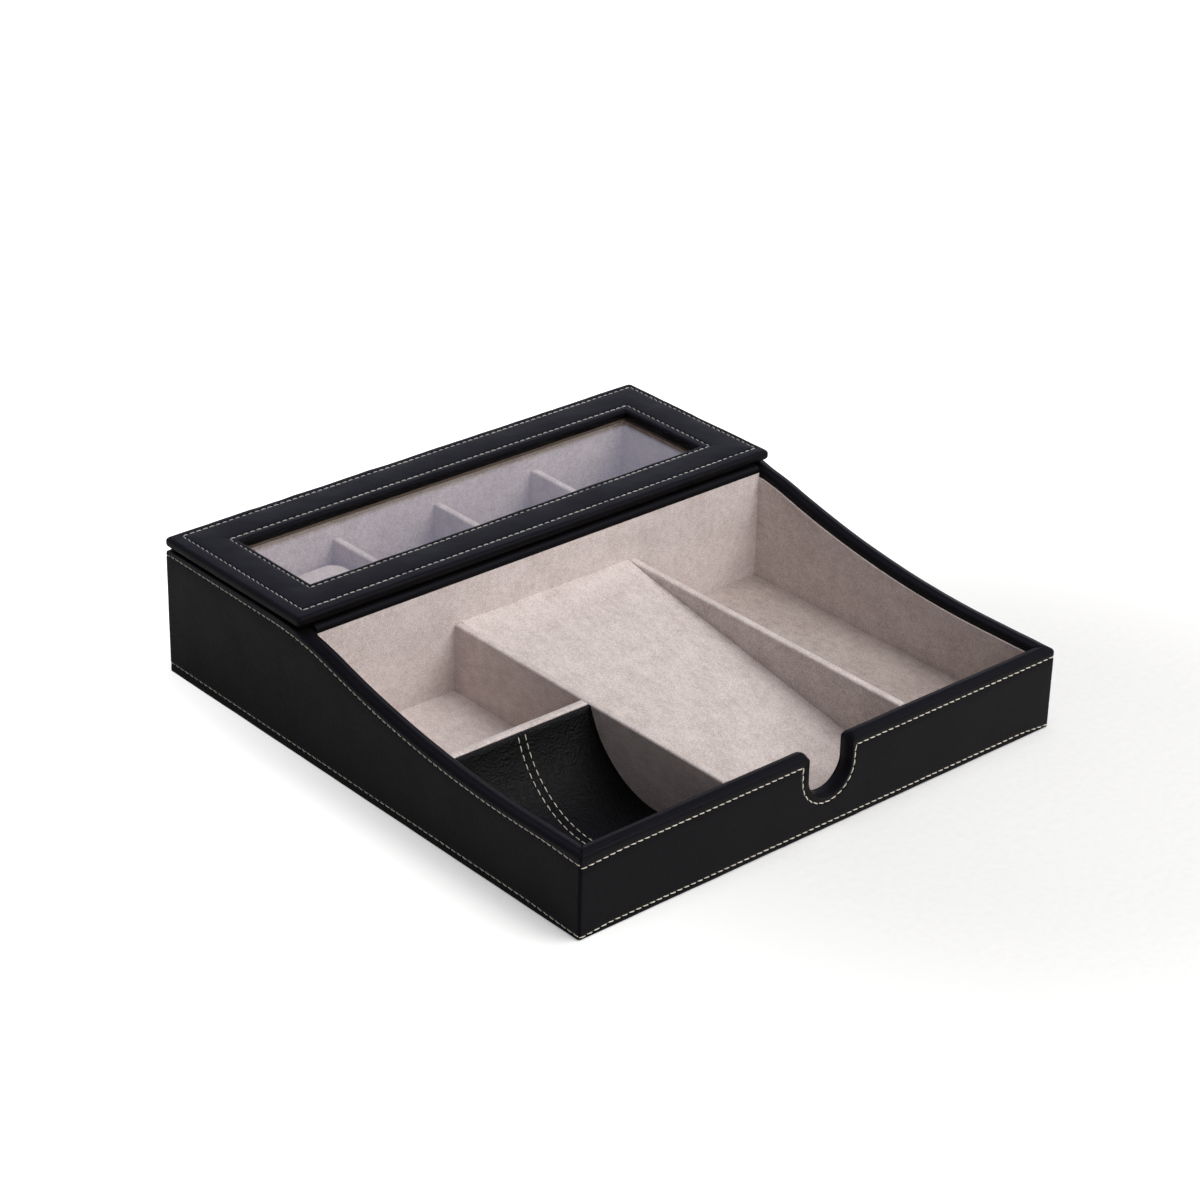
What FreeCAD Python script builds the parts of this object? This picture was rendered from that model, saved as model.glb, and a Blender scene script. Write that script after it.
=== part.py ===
import FreeCAD, Part
import math
import os
import re
import Sketcher

# Desk valet tray with a four-watch bay under a hinged glass lid.
# Millimetres; origin under the middle of the box, +X right, +Y back, +Z up, the notched wall faces -Y.

SIZES = {
    # whole box
    "box_width": 312.0,
    "box_depth": 323.0,
    "box_height": 77.0,
    # walls: leather outside, board, suede or turned leather inside
    "leather": 1.2,
    "wall_board": 7.0,
    "lining": 1.0,
    "rim_front": 45.5,
    "rim_round": 2.8,
    "rim_turn": 5.0,
    "board_ease": 1.0,
    "back_round": 5.2,
    "back_ease": 2.2,
    "fall_start": 90.5,
    "crown_radius": 180.0,
    "sweep_radius": 528.0,
    "corner_seam": 0.12,
    "seam_ease": 0.5,
    # floor
    "base_cover": 1.2,
    "base_board": 4.0,
    "base_edge": 0.5,
    "base_inset": 1.5,
    "base_corner": 2.0,
    # finger notch in the front wall
    "notch_width": 27.0,
    "notch_floor": 18.7,
    "notch_shoulder": 3.5,
    # wall between the tray and the watch bay
    "partition_board": 6.0,
    "partition_reveal": 2.1,
    "partition_dip": 0.4,
    "partition_turn": 3.8,
    # tray
    "divider_thick": 4.7,
    "divider_top": 44.0,
    "divider_round": 1.2,
    "bin_width": 85.2,
    "phone_width": 111.1,
    "coin_depth": 95.6,
    "ramp_board": 3.0,
    "ramp_foot": 3.0,
    "scoop_radius": 51.9,
    "scoop_card": 1.2,
    "scoop_leather": 1.0,
    "scoop_dip": 1.0,
    # watch bay
    "deck_ledge": 15.85,
    "slot_depth": 66.0,
    "watch_divider": 4.5,
    "watch_divider_top": 57.0,
    "bay_wall": 3.0,
    "deck_thick": 3.5,
    "deck_gap": 0.5,
    "deck_round": 1.0,
    "cushion_gap": 2.0,
    "cushion_rest": 0.3,
    "cushion_depth": 42.0,
    "cushion_height": 44.0,
    "first_cushion_gap": 7.0,
    "cushion_rise": 1.0,
    "cushion_top_bow": 6.0,
    "cushion_side_bow": 4.0,
    "cushion_end_bow": 2.5,
    "cushion_foot": 0.2,
    "cushion_shoulder": 0.42,
    # lid
    "lid_depth": 113.8,
    "lid_thick": 5.5,
    "lid_gap": 0.3,
    "lid_leather": 0.9,
    "lid_round": 1.6,
    "lid_ease": 0.6,
    "lid_corner": 2.0,
    "lid_bar": 27.3,
    "lid_turn": 10.6,
    "window_round": 1.8,
    "glass_thick": 2.0,
    "glass_lap": 4.0,
    "glass_play": 0.3,
    "retainer_lip": 1.0,
    "retainer_play": 1.4,
    # hinges
    "hinge_inset": 61.0,
    "hinge_length": 28.6,
    "lid_knuckle": 12.0,
    "knuckle_gap": 0.3,
    "barrel_radius": 1.75,
    "barrel_room": 0.4,
    "pin_radius": 0.8,
    "pin_play": 0.05,
    "leaf_thick": 0.9,
    "leaf_width": 7.2,
    "leaf_room": 0.3,
}
WATCH_SLOTS = 4
SIDES = {"left": -1, "right": 1}
WORD = re.compile(r"[a-z]+(?:_[a-z]+)*")
# A rounding takes at most this share of the thickness that it rounds.
SHARE = 0.47

# Places that several pieces share, as formulas of the sizes.
HALF_W = "box_width / 2"
HALF_D = "box_depth / 2"
WALL = "(leather + wall_board + lining)"
RIM_BACK = "(box_height - lid_thick - lid_gap)"
ROLL = f"min(rim_round; {WALL} * {SHARE})"
BOARD_EASE = f"min(board_ease; wall_board * {SHARE})"
# The back wall's outer edge is rounded wide enough for the lid's rear edge to swing past it.
BACK_ROLL = f"min(back_round; {WALL} - {ROLL} - lining)"
BACK_EASE = f"min(back_ease; wall_board * {SHARE})"
FLOOR = "(base_cover + base_board)"
LINED_FLOOR = f"({FLOOR} + lining)"
IN_X = f"({HALF_W} - {WALL})"
IN_Y = f"({HALF_D} - {WALL})"
BOARD_X = f"({HALF_W} - leather - wall_board)"
BOARD_Y = f"({HALF_D} - leather - wall_board)"
LID_FRONT = f"({HALF_D} - lid_depth)"
LID_BOTTOM = "(box_height - lid_thick)"
LID_MIDDLE = f"({HALF_D} - lid_depth / 2)"
TRAY_BACK = f"({LID_FRONT} - partition_reveal)"
PARTITION_TOP = f"({RIM_BACK} - partition_dip)"
BIN_RIGHT = f"(-{IN_X} + bin_width)"
PHONE_LEFT = f"({BIN_RIGHT} + divider_thick)"
PHONE_RIGHT = f"({PHONE_LEFT} + phone_width)"
SLOT_LEFT = f"({PHONE_RIGHT} + divider_thick)"
COIN_BACK = f"(-{IN_Y} + coin_depth)"
BAY_X = f"({IN_X} - deck_ledge)"
BAY_Y = "slot_depth / 2"
SLOT_WIDTH = f"((2 * {BAY_X} - {WATCH_SLOTS - 1} * watch_divider) / {WATCH_SLOTS})"
RETAINER_BOTTOM = f"({LID_BOTTOM} + lid_leather - glass_thick - retainer_lip)"
DECK_TOP = f"({RETAINER_BOTTOM} - deck_gap)"
HINGE_X = f"({HALF_W} - hinge_inset)"
HINGE_Y = f"({HALF_D} - barrel_radius)"
HINGE_Z = f"({RIM_BACK} + (lid_gap + lid_leather - leather) / 2)"
LEAF_GAP = "((lid_gap + lid_leather + leather) / 2 - leaf_thick)"

doc = FreeCAD.newDocument("valet_tray")
size = doc.addObject("Spreadsheet::Sheet", "size")
for row, (alias, default) in enumerate(SIZES.items(), start=1):
    size.set(f"A{row}", alias)
    size.set(f"B{row}", str(default))
    size.setAlias(f"B{row}", alias)
doc.recompute()
sub_parts = []


def bound(text):
    """Formula with every size's name pointed at its cell."""
    return WORD.sub(lambda word: f"size.{word.group()}" if word.group() in SIZES else word.group(), text)


def number(text):
    """Value of a formula of the sizes."""
    result = size.evalExpression(bound(text))
    return float(getattr(result, "Value", result))


def deliver(piece, label):
    """Name a finished sub-part."""
    piece.Label = label
    sub_parts.append(piece)
    return piece


def new_body(name):
    return doc.addObject("PartDesign::Body", name)


def place(piece, x="0", y="0", z="0"):
    """Set a piece's place by formulas."""
    for axis, text in zip("xyz", (x, y, z)):
        piece.setExpression(f"Placement.Base.{axis}", bound(text))
    return piece


def blank_sketch(body, name, plane, lift):
    """Sketch on one of the body's origin planes, moved along the plane's normal."""
    sketch = body.newObject("Sketcher::SketchObject", name)
    support = next(item for item in body.Origin.OriginFeatures if item.Role == plane)
    sketch.AttachmentSupport = [(support, "")]
    sketch.MapMode = "FlatFace"
    sketch.setExpression("AttachmentOffset.Base.z", bound(lift))
    return sketch


def dimension(sketch, kind, text, *where):
    """Driving dimension that follows a formula."""
    index = sketch.addConstraint(Sketcher.Constraint(kind, *where, number(text)))
    sketch.setExpression(f"Constraints[{index}]", bound(text))


def arc_between(start, finish, radius, side):
    """Arc under a half circle whose middle lies left (+1) or right (-1) of the way from start to finish."""
    chord = finish - start
    left = FreeCAD.Vector(-chord.y, chord.x, 0).normalize()
    reach = math.sqrt(max(radius ** 2 - (chord.Length / 2) ** 2, 0))
    centre = (start + finish) / 2 - left * (side * reach)
    first, last = (finish, start) if side > 0 else (start, finish)
    begin = math.atan2(first.y - centre.y, first.x - centre.x)
    end = math.atan2(last.y - centre.y, last.x - centre.x)
    if end < begin:
        end += 2 * math.pi
    return Part.ArcOfCircle(Part.Circle(centre, FreeCAD.Vector(0, 0, 1), radius), begin, end)


def outline(body, name, plane, lift, corners):
    """Closed sketch with every corner dimensioned from the origin.

    A corner is (across, up), or (across, up, radius, side) where an arc leads on to the next corner.
    """
    sketch = blank_sketch(body, name, plane, lift)
    points = [FreeCAD.Vector(number(corner[0]), number(corner[1]), 0) for corner in corners]
    edges = []
    for corner, start, finish in zip(corners, points, points[1:] + points[:1]):
        if len(corner) == 2:
            edges.append((sketch.addGeometry(Part.LineSegment(start, finish), False), 1, 2))
            continue
        radius, side = corner[2:]
        arc = sketch.addGeometry(arc_between(start, finish, number(radius), side), False)
        edges.append((arc, 2, 1) if side > 0 else (arc, 1, 2))
    for place_in_row, (edge, start_end, _) in enumerate(edges):
        before, _, before_end = edges[place_in_row - 1]
        corner = corners[place_in_row]
        sketch.addConstraint(Sketcher.Constraint("Coincident", before, before_end, edge, start_end))
        for kind, axis, text in (("DistanceX", -2, corner[0]), ("DistanceY", -1, corner[1])):
            if text == "0":
                sketch.addConstraint(Sketcher.Constraint("PointOnObject", edge, start_end, axis))
            else:
                dimension(sketch, kind, text, -1, 1, edge, start_end)
        if len(corner) == 4:
            dimension(sketch, "Radius", corner[2], edge)
    return sketch


def rectangle(body, name, plane, lift, low, high):
    """Rectangular sketch between two corners."""
    corners = [(low[0], low[1]), (high[0], low[1]), (high[0], high[1]), (low[0], high[1])]
    return outline(body, name, plane, lift, corners)


def rounded_rectangle(body, name, lift, half_x, low_y, high_y, radius):
    """Rectangle about the Y axis with rounded corners, drawn in plan."""
    corners = [
        (f"-({half_x}) + {radius}", low_y),
        (f"{half_x} - ({radius})", low_y, radius, -1),
        (half_x, f"{low_y} + {radius}"),
        (half_x, f"{high_y} - ({radius})", radius, -1),
        (f"{half_x} - ({radius})", high_y),
        (f"-({half_x}) + {radius}", high_y, radius, -1),
        (f"-({half_x})", f"{high_y} - ({radius})"),
        (f"-({half_x})", f"{low_y} + {radius}", radius, -1),
    ]
    return outline(body, name, "XY_Plane", lift, corners)


def circle(body, name, plane, lift, radius, across="0", up="0"):
    """Circle sketch with a dimensioned centre."""
    sketch = blank_sketch(body, name, plane, lift)
    centre = FreeCAD.Vector(number(across), number(up), 0)
    ring = sketch.addGeometry(Part.Circle(centre, FreeCAD.Vector(0, 0, 1), number(radius)), False)
    for kind, axis, text in (("DistanceX", -2, across), ("DistanceY", -1, up)):
        if text == "0":
            sketch.addConstraint(Sketcher.Constraint("PointOnObject", ring, 3, axis))
        else:
            dimension(sketch, kind, text, -1, 1, ring, 3)
    dimension(sketch, "Radius", radius, ring)
    return sketch


def pad(body, sketch, length, reverse=False):
    feature = body.newObject("PartDesign::Pad", f"{sketch.Name}_pad")
    feature.Profile = sketch
    feature.setExpression("Length", bound(length))
    feature.Reversed = reverse
    doc.recompute()
    return feature


def pocket(body, sketch, depth, reverse=False):
    """Cut a sketch into the body, against the plane's normal or along it, and insist that it cuts."""
    before = body.Shape.Volume
    feature = body.newObject("PartDesign::Pocket", f"{sketch.Name}_pocket")
    feature.Profile = sketch
    feature.setExpression("Length", bound(depth))
    feature.Reversed = reverse
    doc.recompute()
    if body.Shape.Volume >= before:
        raise RuntimeError(f"{sketch.Name} cuts nothing")
    return feature


def round_edges(body, radius, chosen, kind="Fillet"):
    """Fillet or chamfer the body's edges that a test picks by their bounding boxes."""
    base = body.Tip
    names = [f"Edge{index}" for index, edge in enumerate(base.Shape.Edges, start=1) if chosen(edge.BoundBox)]
    feature = body.newObject(f"PartDesign::{kind}", f"{body.Name}_{kind.lower()}")
    feature.Base = (base, names)
    feature.setExpression("Radius" if kind == "Fillet" else "Size", bound(radius))
    doc.recompute()
    return feature


def near(value, target):
    return abs(value - target) < 1e-4


def cut(base, tool, name):
    feature = doc.addObject("Part::Cut", name)
    feature.Base = base
    feature.Tool = tool
    doc.recompute()
    return feature


def slab(label, low, high, top_round=None):
    """Flat board or sheet between two corners, with its top edges rounded where a radius is given."""
    body = new_body(label)
    length = f"({high[2]}) - ({low[2]})"
    pad(body, rectangle(body, f"{label}_plan", "XY_Plane", low[2], low, high), length)
    if top_round:
        top = number(high[2])
        round_edges(body, top_round, lambda box: near(box.ZMin, top))
    return deliver(body, label)


def side_outline(body, name, lift, drop, front, back, bottom):
    """Side wall seen from the side: level at the back, a crown, a long sweep, level at the front."""
    fall = f"acos(1 - ({RIM_BACK} - rim_front) / (crown_radius + sweep_radius))"
    start = f"({HALF_D} - fall_start)"
    knee_y = f"{start} - (crown_radius - {drop}) * sin({fall})"
    knee_z = f"{RIM_BACK} - crown_radius + (crown_radius - {drop}) * cos({fall})"
    sweep_end = f"{start} - (crown_radius + sweep_radius) * sin({fall})"
    corners = [
        (front, bottom),
        (back, bottom),
        (back, f"{RIM_BACK} - {drop}"),
        (start, f"{RIM_BACK} - {drop}", f"crown_radius - {drop}", -1),
        (knee_y, knee_z, f"sweep_radius + {drop}", 1),
        (sweep_end, f"rim_front - {drop}"),
        (front, f"rim_front - {drop}"),
    ]
    return outline(body, name, "YZ_Plane", lift, corners)


def front_outline(body, name, lift, drop, half_width, bottom):
    """Front wall seen from the front, with the U notch and its rounded shoulders."""
    half = f"(notch_width / 2 + {drop})"
    shoulder = f"max(notch_shoulder - {drop}; lining)"
    top = f"rim_front - {drop}"
    centre = "(notch_floor + notch_width / 2)"
    corners = [
        (f"-{half_width}", bottom),
        (half_width, bottom),
        (half_width, top),
        (f"{half} + {shoulder}", top, shoulder, -1),
        (half, f"{top} - {shoulder}"),
        (half, centre, half, 1),
        ("0", f"{centre} - {half}", half, 1),
        (f"-{half}", centre),
        (f"-{half}", f"{top} - {shoulder}", shoulder, -1),
        (f"-{half} - {shoulder}", top),
        (f"-{half_width}", top),
    ]
    return outline(body, name, "XZ_Plane", lift, corners)


def mitre(body, x_sign, y_sign, along_y, seam):
    """Cut a wall back to the diagonal of one corner of the box, less half the seam."""
    reach = f"({WALL} + 1)"
    ways = [("-1", "-2"), (reach, "-2"), (reach, f"{reach} + {seam}"), ("-1", f"-1 + {seam}")]
    corners = []
    for inward, along in ways:
        from_side, from_front = (inward, along) if along_y else (along, inward)
        corners.append((f"{x_sign} * ({HALF_W} - ({from_side}))", f"{y_sign} * ({HALF_D} - ({from_front}))"))
    name = f"{body.Name}_mitre_{'right' if x_sign > 0 else 'left'}_{'back' if y_sign > 0 else 'front'}"
    pocket(body, outline(body, name, "XY_Plane", "0", corners), "box_height", reverse=True)


def ease_seams(body):
    """Ease a cover's upright edges where it meets its neighbours at the corners of the box."""
    low = number("base_cover") + 1
    half_x = number(HALF_W) - 1
    half_y = number(HALF_D) - 1

    def upright(box):
        at_corner = min(abs(box.XMin), abs(box.XMax)) > half_x and min(abs(box.YMin), abs(box.YMax)) > half_y
        return at_corner and box.ZMax > low and box.XLength < 1e-4 and box.YLength < 1e-4

    round_edges(body, "seam_ease", upright, "Chamfer")


def swing_room(name, drop):
    """Room above the rounded top rear edge of the walls, which the lid's rear edge swings into, as a cutting tool."""
    radius = f"({BACK_ROLL} - {drop})"
    back, top = f"({HALF_D} - {drop})", f"({RIM_BACK} - {drop})"
    room = new_body(name)
    corners = [
        (f"{back} - {radius}", top),
        (f"{back} - {radius}", f"{top} + {WALL}"),
        (f"{back} + {WALL}", f"{top} + {WALL}"),
        (f"{back} + {WALL}", f"{top} - {radius}"),
        (back, f"{top} - {radius}", radius, -1),
    ]
    pad(room, outline(room, f"{name}_side", "YZ_Plane", f"-{HALF_W} - {WALL}", corners), f"box_width + 2 * {WALL}")
    return room


def side_wall(side, sign, cover_room, board_room):
    """Board, leather and tray lining of one side wall."""
    start = {-1: f"-{HALF_W}", 1: f"{HALF_W} - {WALL}"}[sign]
    board_start = {-1: f"-{HALF_W} + leather", 1: f"{HALF_W} - leather - wall_board"}[sign]
    low = number("base_cover")

    def rim(box):
        return box.XLength < 1e-4 and box.ZMax > low + 1 and not (box.YLength < 1e-4)

    board = new_body(f"{side}_board_block")
    shape = side_outline(board, f"{side}_board_side", board_start, "leather", f"-{HALF_D} + leather",
                         f"{HALF_D} - leather", "base_cover")
    pad(board, shape, "wall_board")
    round_edges(board, BOARD_EASE, rim, "Chamfer")
    block = new_body(f"{side}_leather_block")
    pad(block, side_outline(block, f"{side}_cover_side", start, "0", f"-{HALF_D}", HALF_D, "base_cover"), WALL)
    round_edges(block, ROLL, rim)
    for y_sign in (-1, 1):
        mitre(board, sign, y_sign, True, "0")
        mitre(block, sign, y_sign, True, "corner_seam")
    ease_seams(block)
    inner = {-1: f"-{IN_X}", 1: IN_X}[sign]
    zone = side_outline(block, f"{side}_lining_zone", inner, "rim_turn", f"-{HALF_D} - 1", f"{HALF_D} + 1", "-1")
    pocket(block, zone, "lining", reverse=sign > 0)
    trimmed = deliver(cut(board, board_room, f"{side}_board"), f"{side}_board")
    deliver(cut(cut(block, trimmed, f"{side}_skin"), cover_room, f"{side}_leather"), f"{side}_leather")
    lining = new_body(f"{side}_lining")
    lining_start = {-1: f"-{BOARD_X}", 1: IN_X}[sign]
    pad(lining, side_outline(lining, f"{side}_lining_side", lining_start, "rim_turn", f"-{BOARD_Y}", HALF_D, FLOOR),
        "lining")
    behind = rectangle(lining, f"{side}_lining_end", "YZ_Plane", lining_start, (TRAY_BACK, "0"),
                       (f"{HALF_D} + 1", "box_height"))
    pocket(lining, behind, "lining", reverse=True)
    deliver(lining, f"{side}_lining")


def front_wall():
    """Notched front board, its leather and its lining."""
    low = number("base_cover")
    end_x = number(HALF_W)
    board_end = number(f"{HALF_W} - leather")

    def rim(box):
        at_end = box.XLength < 1e-4 and (near(abs(box.XMin), end_x) or near(abs(box.XMin), board_end))
        return box.YLength < 1e-4 and box.ZMax > low + 1 and not at_end

    board = new_body("front_board")
    pad(board, front_outline(board, "front_board_face", f"{HALF_D} - leather", "leather",
                             f"({HALF_W} - leather)", "base_cover"), "wall_board", reverse=True)
    round_edges(board, BOARD_EASE, rim, "Chamfer")
    block = new_body("front_leather_block")
    pad(block, front_outline(block, "front_cover_face", HALF_D, "0", HALF_W, "base_cover"), WALL, reverse=True)
    round_edges(block, ROLL, rim)
    for x_sign in (-1, 1):
        mitre(board, x_sign, -1, False, "0")
        mitre(block, x_sign, -1, False, "corner_seam")
    ease_seams(block)
    zone = front_outline(block, "front_lining_zone", IN_Y, "rim_turn", f"({HALF_W} + 1)", "-1")
    pocket(block, zone, "lining", reverse=True)
    deliver(board, "front_board")
    deliver(cut(block, board, "front_leather"), "front_leather")
    lining = new_body("front_lining")
    pad(lining, front_outline(lining, "front_lining_face", BOARD_Y, "rim_turn", IN_X, FLOOR), "lining",
        reverse=True)
    deliver(lining, "front_lining")


def hinge_recess(name, seat_low, seat_high, barrel_low, barrel_high):
    """Room for both hinges' leaves and barrels, as one cutting tool."""
    rooms = []
    for side, sign in SIDES.items():
        spans = {
            "leaf": ("leaf_width + leaf_room", seat_low, seat_high),
            "barrel": ("barrel_radius + barrel_room", barrel_low, barrel_high),
        }
        for part, (inward, low, high) in spans.items():
            room = doc.addObject("Part::Box", f"{name}_{side}_{part}")
            room.setExpression("Length", bound("hinge_length + 2 * leaf_room"))
            room.setExpression("Width", bound(f"{inward} + barrel_radius + 1"))
            room.setExpression("Height", bound(f"({high}) - ({low})"))
            place(room, f"{sign} * {HINGE_X} - hinge_length / 2 - leaf_room", f"{HINGE_Y} - ({inward})", low)
            rooms.append(room)
    recess = doc.addObject("Part::MultiFuse", name)
    recess.Shapes = rooms
    doc.recompute()
    return recess


def back_wall(recess):
    """Rear board and leather, let in for the hinges."""
    low = number("base_cover")
    middle = number(f"{HALF_D} - {WALL} / 2")

    def rim(box):
        return box.YLength < 1e-4 and box.XLength > 1 and box.ZMax > low + 1

    def inner_rim(box):
        return rim(box) and box.YMax < middle

    def outer_rim(box):
        return rim(box) and box.YMax > middle

    board = new_body("back_board_block")
    pad(board, rectangle(board, "back_board_face", "XZ_Plane", f"-{HALF_D} + leather",
                         (f"-{HALF_W} + leather", "base_cover"), (f"{HALF_W} - leather", f"{RIM_BACK} - leather")),
        "wall_board")
    round_edges(board, BOARD_EASE, inner_rim, "Chamfer")
    round_edges(board, BACK_EASE, outer_rim, "Chamfer")
    block = new_body("back_leather_block")
    pad(block, rectangle(block, "back_cover_face", "XZ_Plane", f"-{HALF_D}", (f"-{HALF_W}", "base_cover"),
                         (HALF_W, RIM_BACK)), WALL)
    round_edges(block, ROLL, inner_rim)
    round_edges(block, BACK_ROLL, outer_rim)
    for x_sign in (-1, 1):
        mitre(board, x_sign, 1, False, "0")
        mitre(block, x_sign, 1, False, "corner_seam")
    ease_seams(block)
    zone = rectangle(block, "back_lining_zone", "XZ_Plane", f"-{IN_Y}", (f"-{HALF_W} - 1", "-1"),
                     (f"{HALF_W} + 1", f"{RIM_BACK} - rim_turn"))
    pocket(block, zone, "lining")
    deliver(cut(cut(block, board, "back_skin"), recess, "back_leather"), "back_leather")
    deliver(cut(board, recess, "back_board"), "back_board")


def partition():
    """Board between tray and watch bay, its rolled leather cap and its suede face."""
    board = new_body("partition_board")
    board_front = f"{TRAY_BACK} + lining"
    board_back = f"{board_front} + partition_board"
    pad(board, rectangle(board, "partition_end", "YZ_Plane", f"-{IN_X}", (board_front, FLOOR),
                         (board_back, f"{PARTITION_TOP} - lining")), f"2 * {IN_X}")
    top = number(f"{PARTITION_TOP} - lining")
    cap_roll = f"min(rim_round; partition_turn * 0.95; (partition_board + 2 * lining) * {SHARE})"
    round_edges(board, f"min(board_ease; partition_board * {SHARE})",
                lambda box: near(box.ZMin, top) and box.XLength > 1, "Chamfer")
    cap = new_body("partition_cap")
    pad(cap, rectangle(cap, "partition_cap_end", "YZ_Plane", f"-{IN_X}",
                       (TRAY_BACK, f"{PARTITION_TOP} - partition_turn"), (f"{board_back} + lining", PARTITION_TOP)),
        f"2 * {IN_X}")
    cap_top = number(PARTITION_TOP)
    round_edges(cap, cap_roll, lambda box: near(box.ZMin, cap_top) and box.XLength > 1)
    deliver(board, "partition_board")
    deliver(cut(cap, board, "partition_leather"), "partition_leather")
    slab("partition_lining", (f"-{IN_X}", TRAY_BACK, FLOOR),
         (IN_X, board_front, f"{PARTITION_TOP} - partition_turn"))


def floor():
    """Felt underside and bottom board."""
    felt = new_body("base_cover")
    pad(felt, rounded_rectangle(felt, "base_cover_plan", "0", f"({HALF_W} - base_inset)",
                                f"(-{HALF_D} + base_inset)", f"({HALF_D} - base_inset)", "base_corner"),
        "base_cover")
    round_edges(felt, "base_edge", lambda box: box.ZMax < 1e-4)
    deliver(felt, "base_cover")
    slab("base_board", (f"-{BOARD_X}", f"-{BOARD_Y}", "base_cover"), (BOARD_X, BOARD_Y, FLOOR))
    slab("bin_floor_lining", (f"-{IN_X}", f"{COIN_BACK} + divider_thick", FLOOR), (BIN_RIGHT, TRAY_BACK, LINED_FLOOR))
    slab("slot_floor_lining", (SLOT_LEFT, f"-{IN_Y}", FLOOR), (IN_X, TRAY_BACK, LINED_FLOOR))


def tray_dividers():
    """Suede-wrapped boards that part the tray."""
    slab("left_divider", (BIN_RIGHT, f"-{IN_Y}", FLOOR), (PHONE_LEFT, TRAY_BACK, "divider_top"), "divider_round")
    slab("right_divider", (PHONE_RIGHT, f"-{IN_Y}", FLOOR), (SLOT_LEFT, TRAY_BACK, "divider_top"), "divider_round")
    slab("coin_divider", (f"-{IN_X}", COIN_BACK, FLOOR), (BIN_RIGHT, f"{COIN_BACK} + divider_thick", "divider_top"),
         "divider_round")


def ramp():
    """Sloping floor of the phone bay: a board and its suede, from the partition down to the front wall."""
    foot = f"({FLOOR} + ramp_foot)"
    slope = f"((divider_top - {foot}) / ({TRAY_BACK} + {IN_Y}))"
    board_top = f"({foot} - lining)"
    toe = f"(-{IN_Y} + max(ramp_board - ramp_foot + lining; lining) / {slope})"
    board = new_body("ramp_board")
    corners = [
        (f"-{IN_Y}", FLOOR),
        (toe, FLOOR),
        (TRAY_BACK, f"{board_top} + {slope} * ({TRAY_BACK} - {toe}) - (ramp_foot - lining)"),
        (TRAY_BACK, "divider_top - lining"),
        (f"-{IN_Y}", board_top),
    ]
    pad(board, outline(board, "ramp_side", "YZ_Plane", PHONE_LEFT, corners), "phone_width")
    deliver(board, "ramp_board")
    suede = new_body("ramp_lining")
    corners = [
        (f"-{IN_Y}", board_top),
        (TRAY_BACK, "divider_top - lining"),
        (TRAY_BACK, "divider_top"),
        (f"-{IN_Y}", foot),
    ]
    pad(suede, outline(suede, "ramp_lining_side", "YZ_Plane", PHONE_LEFT, corners), "phone_width")
    deliver(suede, "ramp_lining")


def scoop_layer(label, inner, outer):
    """One layer of the coin scoop, between two radii about the scoop's axis."""
    shell = "(scoop_radius + scoop_leather + scoop_card)"
    axis_z = f"({FLOOR} + {shell})"
    top = "(divider_top - scoop_dip)"
    axis_y = f"({COIN_BACK} - sqrt({shell} ^ 2 - ({axis_z} - {top}) ^ 2))"
    front = f"(-{IN_Y})"

    def back_at(radius):
        return f"{axis_y} + sqrt({radius} ^ 2 - ({axis_z} - {top}) ^ 2)"

    def front_at(radius):
        return f"{axis_z} - sqrt({radius} ^ 2 - ({axis_y} - {front}) ^ 2)"

    def low_at(radius):
        return f"{axis_z} - {radius}"

    body = new_body(label)
    corners = [
        (front, front_at(outer), outer, -1),
        (axis_y, low_at(outer), outer, -1),
        (back_at(outer), top),
        (back_at(inner), top, inner, 1),
        (axis_y, low_at(inner), inner, 1),
        (front, front_at(inner)),
    ]
    pad(body, outline(body, f"{label}_side", "YZ_Plane", f"-{IN_X}", corners), "bin_width")
    return deliver(body, label)


def watch_bay():
    """Lined insert for the watches, the ledge round it and its dividers."""
    near_y = f"({LID_MIDDLE} - {BAY_Y})"
    far_y = f"({LID_MIDDLE} + {BAY_Y})"
    wall_top = f"{DECK_TOP} - deck_thick"
    left, right = f"-{BAY_X}", BAY_X
    slab("bay_floor_lining", (f"{left} - bay_wall", f"{near_y} - bay_wall", FLOOR),
         (f"{right} + bay_wall", f"{far_y} + bay_wall", LINED_FLOOR))
    slab("bay_left_wall", (f"{left} - bay_wall", f"{near_y} - bay_wall", LINED_FLOOR),
         (left, f"{far_y} + bay_wall", wall_top))
    slab("bay_right_wall", (right, f"{near_y} - bay_wall", LINED_FLOOR),
         (f"{right} + bay_wall", f"{far_y} + bay_wall", wall_top))
    slab("bay_front_wall", (left, f"{near_y} - bay_wall", LINED_FLOOR), (right, near_y, wall_top))
    slab("bay_back_wall", (left, far_y, LINED_FLOOR), (right, f"{far_y} + bay_wall", wall_top))
    deck = new_body("bay_deck")
    deck_front = f"{TRAY_BACK} + partition_board + 2 * lining"
    pad(deck, rectangle(deck, "deck_plan", "XY_Plane", wall_top, (f"-{IN_X}", deck_front), (IN_X, IN_Y)),
        "deck_thick")
    pocket(deck, rectangle(deck, "deck_mouth", "XY_Plane", wall_top, (left, near_y), (right, far_y)), "deck_thick",
           reverse=True)
    top = number(DECK_TOP)
    inside = number(BAY_X) + 1
    low_y, high_y = number(near_y) - 1, number(far_y) + 1
    round_edges(deck, "deck_round", lambda box: near(box.ZMin, top) and box.XMax < inside and box.XMin > -inside
                and box.YMin > low_y and box.YMax < high_y)
    deliver(deck, "bay_deck")
    for index in range(1, WATCH_SLOTS):
        start = f"{left} + {index} * {SLOT_WIDTH} + {index - 1} * watch_divider"
        slab(f"watch_divider_{index}", (start, near_y, LINED_FLOOR),
             (f"{start} + watch_divider", far_y, "watch_divider_top"), "divider_round")


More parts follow.
